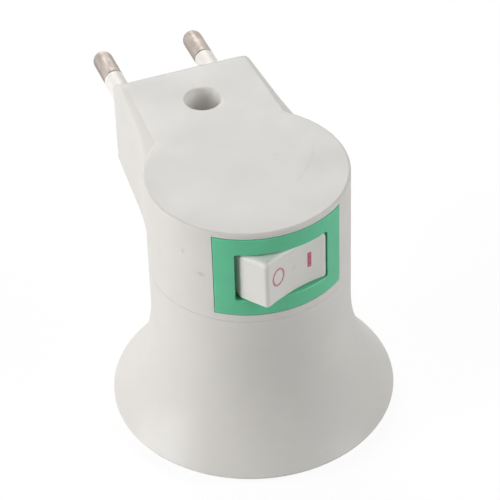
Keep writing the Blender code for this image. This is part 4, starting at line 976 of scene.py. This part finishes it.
def edge_row(loop, distance):
    """Section moved inward: along its normals first, and past the tightest corner by shrinking."""
    row = inset_loop(loop, min(distance, 0.5))
    spare = max(distance - 0.5, 0.0)
    return HUB + (row - HUB) * np.array([1 - spare / 7.8, 1 - spare / 4.0])


def about_pivot(grid):
    """Grid of points in the rocker's own millimetres, tilted and moved to the pivot."""
    turn = np.array([[math.cos(ROCKER_TILT), -math.sin(ROCKER_TILT), 0],
                     [math.sin(ROCKER_TILT), math.cos(ROCKER_TILT), 0], [0, 0, 1]])
    return (grid @ turn.T + PIVOT) * MM


hollow_face = [(x, face_depth(x), 0) for x in np.linspace(-HOLLOW_X, HOLLOW_X, 33)]
corners = hollow_face + [(*RIDGE, 0.8), (8.7, -1.3, 0.9), (8.4, 1.5, 0.8), (-8.4, 1.5, 0.8),
                         (-8.7, -1.3, 0.9), (-RIDGE[0], RIDGE[1], 0.8), hollow_face[0]]
side_loop = resample(soft_profile(corners, 7), 0.4)[:-1]
turns = np.linspace(0, math.pi / 2, 7)
rows = [(edge_row(side_loop, LOW_EDGE * (1 - math.cos(turn))),
         ROCKER_LOW + LOW_EDGE * (1 - math.sin(turn))) for turn in turns[::-1]]
rows += [(edge_row(side_loop, TOP_EDGE * (1 - math.cos(turn))),
          ROCKER_TOP - TOP_EDGE * (1 - math.sin(turn))) for turn in turns]
ends = [[(HUB + (rows[end][0] - HUB) * share, z) for share in (0.9, 0.6, 0.3, 0.0)]
        for end, z in ((0, ROCKER_LOW), (-1, ROCKER_TOP))]
rocker_grid = np.array([np.column_stack([row, np.full(len(row), z)])
                        for row, z in ends[0][::-1] + rows + ends[1]])
rocker = piece_from_grid("rocker_button_shell", about_pivot(rocker_grid), sharp=35)
print("rocker:", len(side_loop), "points in its section")


# %% Pivots, hollow and stem of the rocker
def along_stem(profile):
    """Turned grid about the rocker's own depth axis, from (radius, depth) points."""
    return about_pivot(laid_down(turned(profile, 40)))


trunnion = [(0, -5.55), (0.95, -5.55), (1.1, -5.4), (1.1, 5.4), (0.95, 5.55), (0, 5.55)]
combine(rocker, [about_pivot(turned(trunnion, 40))], "UNION", 35)
hollow = [[-5.7, -4.95], [5.7, -4.95], [7.07, 2.5], [-7.07, 2.5]]
combine(rocker, [about_pivot(prism(hollow, -3.55, 3.55))], sharp=35)
stem = [(0, -5.5), (2.3, -5.5), (2.3, 2.45), (2.15, 2.6), (0, 2.6)]
combine(rocker, [along_stem(stem)], "UNION", 35)
faces = combine(rocker, [along_stem(cylinder(1.55, -4.4, 3.6))], sharp=35)
print("rocker:", faces, "faces")
dress(rocker, rocker_white, "rocker", "rocker_button")

# %% [markdown]
# The two printed marks
#
# The on and off marks are a bar and a ring printed on the hollow face in a red that has faded to
# pink. On the real rocker the ink is a film of a few hundredths of a millimetre. Here each mark is
# a thin raised shape that follows the hollow face, so that it stays sharp close up.

# %% Print and places of the marks
MARK_RISE = 0.03
MARK_ROOT = -0.05
MARK_LIFT = 0.42
RING_X = -4.0
BAR_X = 3.3


def printed(name, colour, wear):
    """Faded print: red ink that thins in small spots, more or less by the wear."""
    look = Finish(name, colour, 0.5)
    thin = look.remap(look.noise(0.45, 4, 0.65), 0.42, 0.7)
    pale = tuple(part * 0.45 + white * 0.55 for part, white in zip(colour, ROCKER_WHITE))
    look.stain(look.times(thin, wear), pale)
    look.bump(look.noise(0.2, 2, 0.5), 0.003)
    return look.material


def on_face(x, z, rise):
    """Points on the hollow face, lifted from it by a rise."""
    return np.stack([x, face_depth(x) - rise, z], -1)


# %% Ring and bar
turn = np.linspace(0, math.tau, 96, endpoint=False)
ring_rows = [on_face(RING_X + half_x * np.cos(turn), MARK_LIFT + half_z * np.sin(turn), rise)
             for half_x, half_z, rise in ((1.55, 1.98, MARK_ROOT), (1.55, 1.98, 0.02),
                                          (1.52, 1.95, MARK_RISE), (1.15, 1.58, MARK_RISE),
                                          (1.12, 1.55, 0.02), (1.12, 1.55, MARK_ROOT))]
ring = piece_from_grid("off_mark_ring", about_pivot(np.array(ring_rows)), loop_profile=True)
ring.data.materials.append(printed("faded_red_ring", srgb(205, 118, 138), 0.75))
bar_outline = round_rectangle(0.42, 1.68, 0.16, 6)
bar_rows = [on_face(BAR_X + bar_outline[:, 0] * share, MARK_LIFT + bar_outline[:, 1] * share, rise)
            for share, rise in ((0, MARK_ROOT), (1, MARK_ROOT), (1, 0.02), (0.96, MARK_RISE),
                                (0, MARK_RISE))]
bar = piece_from_grid("on_mark_bar", about_pivot(np.array(bar_rows)))
bar.data.materials.append(printed("faded_red_bar", srgb(196, 84, 116), 0.5))
for mark in (ring, bar):
    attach(mark, "rocker_button")
print("marks:", len(ring.data.polygons) + len(bar.data.polygons), "faces")

# %% [markdown]
# Plug pins and their sleeves
#
# Each pin is one turned piece of nickel-plated brass: a bare round-ended tip, a thinner core that
# runs back through the white sleeve, and a collar that the carrier inside holds. The plating is
# rubbed from use, so its colour drifts to a warm brown in streaks along the pin, and a thin gap
# between sleeve and shoulder reads as a dark ring.

# %% Worn nickel and sleeve plastic
def worn_metal(name, colour, worn, rough):
    """Metal whose colour goes to a worn tone in streaks along Y, with fine drawn scratches."""
    look = Finish(name, colour, rough, metallic=1.0)
    long_way = look.mapped((0.5, 0.06, 0.5))
    streaks = look.noise(0.6, 4, 0.6, where=long_way)
    clouds = look.noise(2.6, 3, 0.6)
    mask = look.remap(look.plus(look.times(streaks, 0.6), look.times(clouds, 0.5)), 0.42, 0.68)
    look.stain(look.times(mask, 0.8), worn)
    look.roughen(mask, 0.0, 1.0, rough - 0.06, rough + 0.14)
    look.bump(look.noise(0.12, 3, 0.6, where=long_way), 0.002)
    look.bump(look.noise(0.5, 2, 0.5), 0.002)
    return look.material


pin_metal = worn_metal("worn_nickel", srgb(186, 178, 172), srgb(150, 139, 131), 0.56)
sleeve_look = moulded_colour("sleeve_warm_white", srgb(250, 245, 239), 0.40, shift=0.96)
print("finishes:", pin_metal.name, "and", sleeve_look.name)

# %% Pins and sleeves
# The shoulder's distance from the lamp axis, the length of the bare tip, and then the radii.
SHOULDER = NOSE_Y + 10.15
TIP = 8.5
PIN = 2.0
CORE = 1.35
COLLAR = 2.1
SLEEVE_BORE = 1.55
pin_corners = [(0, -22.3, 0), (0.75, -22.3, 0.05), (0.75, -24.0, 0.05), (CORE, -24.0, 0.12),
               (CORE, -20.6, 0.05), (COLLAR, -20.6, 0.15), (COLLAR, -19.6, 0.15),
               (CORE, -19.6, 0.05), (CORE, 0.0, 0.03), (PIN, 0.0, 0.12), (PIN, TIP - PIN, 0)]
pin_corners += [(PIN * math.cos(t), TIP - PIN + PIN * math.sin(t), 0)
                for t in np.linspace(0, math.pi / 2, 16)[1:]]
sleeve_corners = [(SLEEVE_BORE, -6.0, 0), (SLEEVE_BORE, -12.4, 0.06), (PIN, -12.4, 0.12),
                  (PIN, -0.2, 0.14), (SLEEVE_BORE, -0.2, 0.06), (SLEEVE_BORE, -6.0, 0)]
pin_path, sleeve_path = [resample(soft_profile(corners, 5), 1.2) + [0, SHOULDER]
                         for corners in (pin_corners, sleeve_corners)]
for side, word in ((-1, "left"), (1, "right")):
    centre = (side * PIN_X, PIN_Z)
    pin = piece_from_grid("plug_pin_" + word, turned_along_y(pin_path, centre), sharp=35)
    dress(pin, pin_metal, "pin_" + word, "housing")
    sleeve = piece_from_grid("plug_sleeve_" + word, turned_along_y(sleeve_path[:-1], centre),
                             loop_profile=True, sharp=35)
    dress(sleeve, sleeve_look, "pin_sleeve_" + word, "housing")
print("pins and sleeves:", len(pin.data.polygons), "and", len(sleeve.data.polygons), "faces each")

# %% [markdown]
# Socket cup and thread shell
#
# Inside the bell hangs the part that takes the lamp: a black moulded cup with a thick floor, and
# in it a shell rolled from thin nickelled sheet. The shell is a pressed thread: its radius is a
# wave that climbs one pitch in each turn. The same wave, moved out by the sheet's thickness, is
# its back.

# %% Finishes of the inner parts
def brushed(name, colour, worn, rough):
    """Sheet metal with rolling lines, a drift of tone and darker spots where it has aged."""
    look = Finish(name, colour, rough, metallic=1.0)
    lines = look.noise(0.9, 3, 0.6, where=look.mapped((1.0, 1.0, 0.12)))
    clouds = look.noise(3.0, 3, 0.55)
    aged = look.remap(look.times(clouds, look.plus(lines, 0.5)), 0.42, 0.68)
    look.stain(look.times(aged, 0.5), worn)
    look.roughen(lines, 0.3, 0.7, rough - 0.06, rough + 0.12)
    look.bump(lines, 0.002)
    return look.material


def insulated(name, colour):
    """Soft wire insulation: even colour, a faint extrusion ripple and a dull sheen."""
    look = Finish(name, colour, 0.45)
    ripple = look.noise(0.8, 2, 0.5)
    look.stain(look.remap(look.noise(4, 2, 0.5), 0.3, 0.7), shade(colour, 0.85))
    look.roughen(ripple, 0.3, 0.7, 0.37, 0.53)
    look.bump(ripple, 0.004)
    return look.material


shell_nickel = brushed("rolled_nickel", srgb(206, 202, 194), srgb(150, 140, 126), 0.28)
socket_black = moulded_colour("socket_black_plastic", srgb(38, 38, 40), 0.48, shift=0.8, marks=0.5)
screw_steel = brushed("zinc_steel", srgb(190, 192, 196), srgb(128, 126, 120), 0.36)
contact_brass = brushed("spring_brass", srgb(214, 176, 104), srgb(142, 104, 58), 0.32)
contact_silver = brushed("silver_contact", srgb(224, 222, 216), srgb(150, 144, 136), 0.25)
looks = {"contact_brass": contact_brass, "contact_silver": contact_silver,
         "screw_steel": screw_steel, "sleeve_white": sleeve_look,
         "wire_brown": insulated("wire_brown_cover", srgb(110, 66, 40)),
         "wire_black": insulated("wire_black_cover", srgb(34, 34, 36)),
         "wire_blue": insulated("wire_blue_cover", srgb(52, 96, 168))}
print("finishes for the solids that keep their shape:", len(looks))


# %% Socket cup
def rivet_holes(low, high, spots):
    """Closed tools for rivet holes between two heights, one at each plan point."""
    return [turned_at(cylinder(1.2, low, high), spot, 32) for spot in spots]


RIVET_SPOTS = ((-3.4, 0.0), (0.0, 9.6), (0.0, -9.6))
cup_corners = [(0, 28.8, 0), (14, 28.8, 0.3), (14, 8.5, 0.15), (14.9, 8.5, 0.3), (14.9, 31.8, 0.2),
               (16.1, 31.8, 0.2), (16.1, 33, 0.25), (14, 33, 0.25), (14, 31, 0.3), (0, 31, 0)]
cup_path = resample(soft_profile(cup_corners, 5), 1.5)
cup = piece_from_grid("socket_cup_moulding", turned(cup_path * MM, 128), sharp=35)
faces = combine(cup, rivet_holes(27, 33, RIVET_SPOTS), sharp=35)
print("socket cup:", faces, "faces")
dress(cup, socket_black, "socket_cup", "housing")


# %% Thread shell
def thread_wave(z, mean, depth, pitch, fade, steps):
    """Radii of a thread: mean plus depth times cos(turns climbed - angle) times the fade.

    The fade is 1 along the thread and goes to 0 where it starts and ends.
    """
    angle = np.linspace(0, math.tau, steps, endpoint=False)
    return mean + depth * np.cos(math.tau * z[:, None] / pitch - angle) * fade[:, None]


PITCH = 3.63
SHELL_LOW = 9.6
SHELL_HIGH = 28.5
SHEET = 0.4
climb = np.linspace(SHELL_LOW, SHELL_HIGH - 0.12, 84)
fade = np.clip(np.minimum(climb - SHELL_LOW, SHELL_HIGH - climb) / PITCH * 2, 0, 1)
wave = thread_wave(climb, 12.75, 0.55, PITCH, fade, 128)
flange = [(12.95, SHELL_HIGH), (10.0, SHELL_HIGH), (7.05, SHELL_HIGH), (7.0, SHELL_HIGH - 0.1),
          (7.0, SHELL_HIGH - 0.3), (7.05, SHELL_HIGH - SHEET), (10.0, SHELL_HIGH - SHEET)]
back = climb < SHELL_HIGH - SHEET - 0.05
shell_grid = np.vstack([swept(wave + SHEET, climb), turned(flange, 128),
                        swept(wave[back][::-1], climb[back][::-1])]) * MM
shell = piece_from_grid("thread_shell", shell_grid, loop_profile=True, sharp=50)
faces = combine(shell, rivet_holes(27.5, 29.5, RIVET_SPOTS[1:]), sharp=50)
print("thread shell:", faces, "faces")
dress(shell, shell_nickel, "screw_shell", "housing")

# %% [markdown]
# The closing screw
#
# One screw at the bottom of the recess holds the two housings together. Its head is low and
# round with a cross slot, and its thread is again a wave that climbs round the shank.

# %% Housing screw
HEAD_SEAT = RECESS_FLOOR + 0.15
HEAD_TOP = 43.75
TIP_Z = 33.79
climb = np.linspace(TIP_Z + 0.9, HEAD_SEAT - 0.5, 72)
wave = thread_wave(climb, 1.33, 0.12, 0.9, np.clip(HEAD_SEAT - 0.6 - climb, 0, 1), 64)
point = [(0, TIP_Z), (0.35, TIP_Z + 0.05), (0.9, TIP_Z + 0.45)]
head = soft_profile([(1.4, HEAD_SEAT - 0.2, 0), (1.4, HEAD_SEAT, 0.05), (2.7, HEAD_SEAT, 0.1),
                     (2.7, HEAD_SEAT + 0.75, 0.35), (1.9, HEAD_TOP - 0.1, 0.5),
                     (0, HEAD_TOP, 0)], 5)
screw_grid = np.vstack([turned(point, 64), swept(wave, climb), turned(head, 64)])
screw = piece_from_grid("closing_screw", (screw_grid + [0, SCREW_Y, 0]) * MM, sharp=40)
cross = [box_grid((-half_x, SCREW_Y - half_y, HEAD_TOP - 1.1),
                  (half_x, SCREW_Y + half_y, HEAD_TOP + 1))
         for half_x, half_y in ((0.38, 1.6), (1.6, 0.38))]
faces = combine(screw, cross, sharp=40)
print("closing screw:", faces, "faces")
dress(screw, screw_steel, "housing_screw", "housing")

# %% [markdown]
# Parts that keep the solids' shapes
#
# Terminals, contact buttons, rivets, lugs, the pin carrier, the plunger with its spring, the seesaw
# strip and the wires are right as they are. Only their finish is made here, one for each slot.

# %% Finishes for the remaining parts
dressed = 0
for name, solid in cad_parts.items():
    kind = solid.data.materials[0].name if solid.data.materials else ""
    if kind in looks:
        solid.material_slots[0].material = looks[kind]
        dressed += 1
print("solids that keep their shape and get a finish:", dressed)
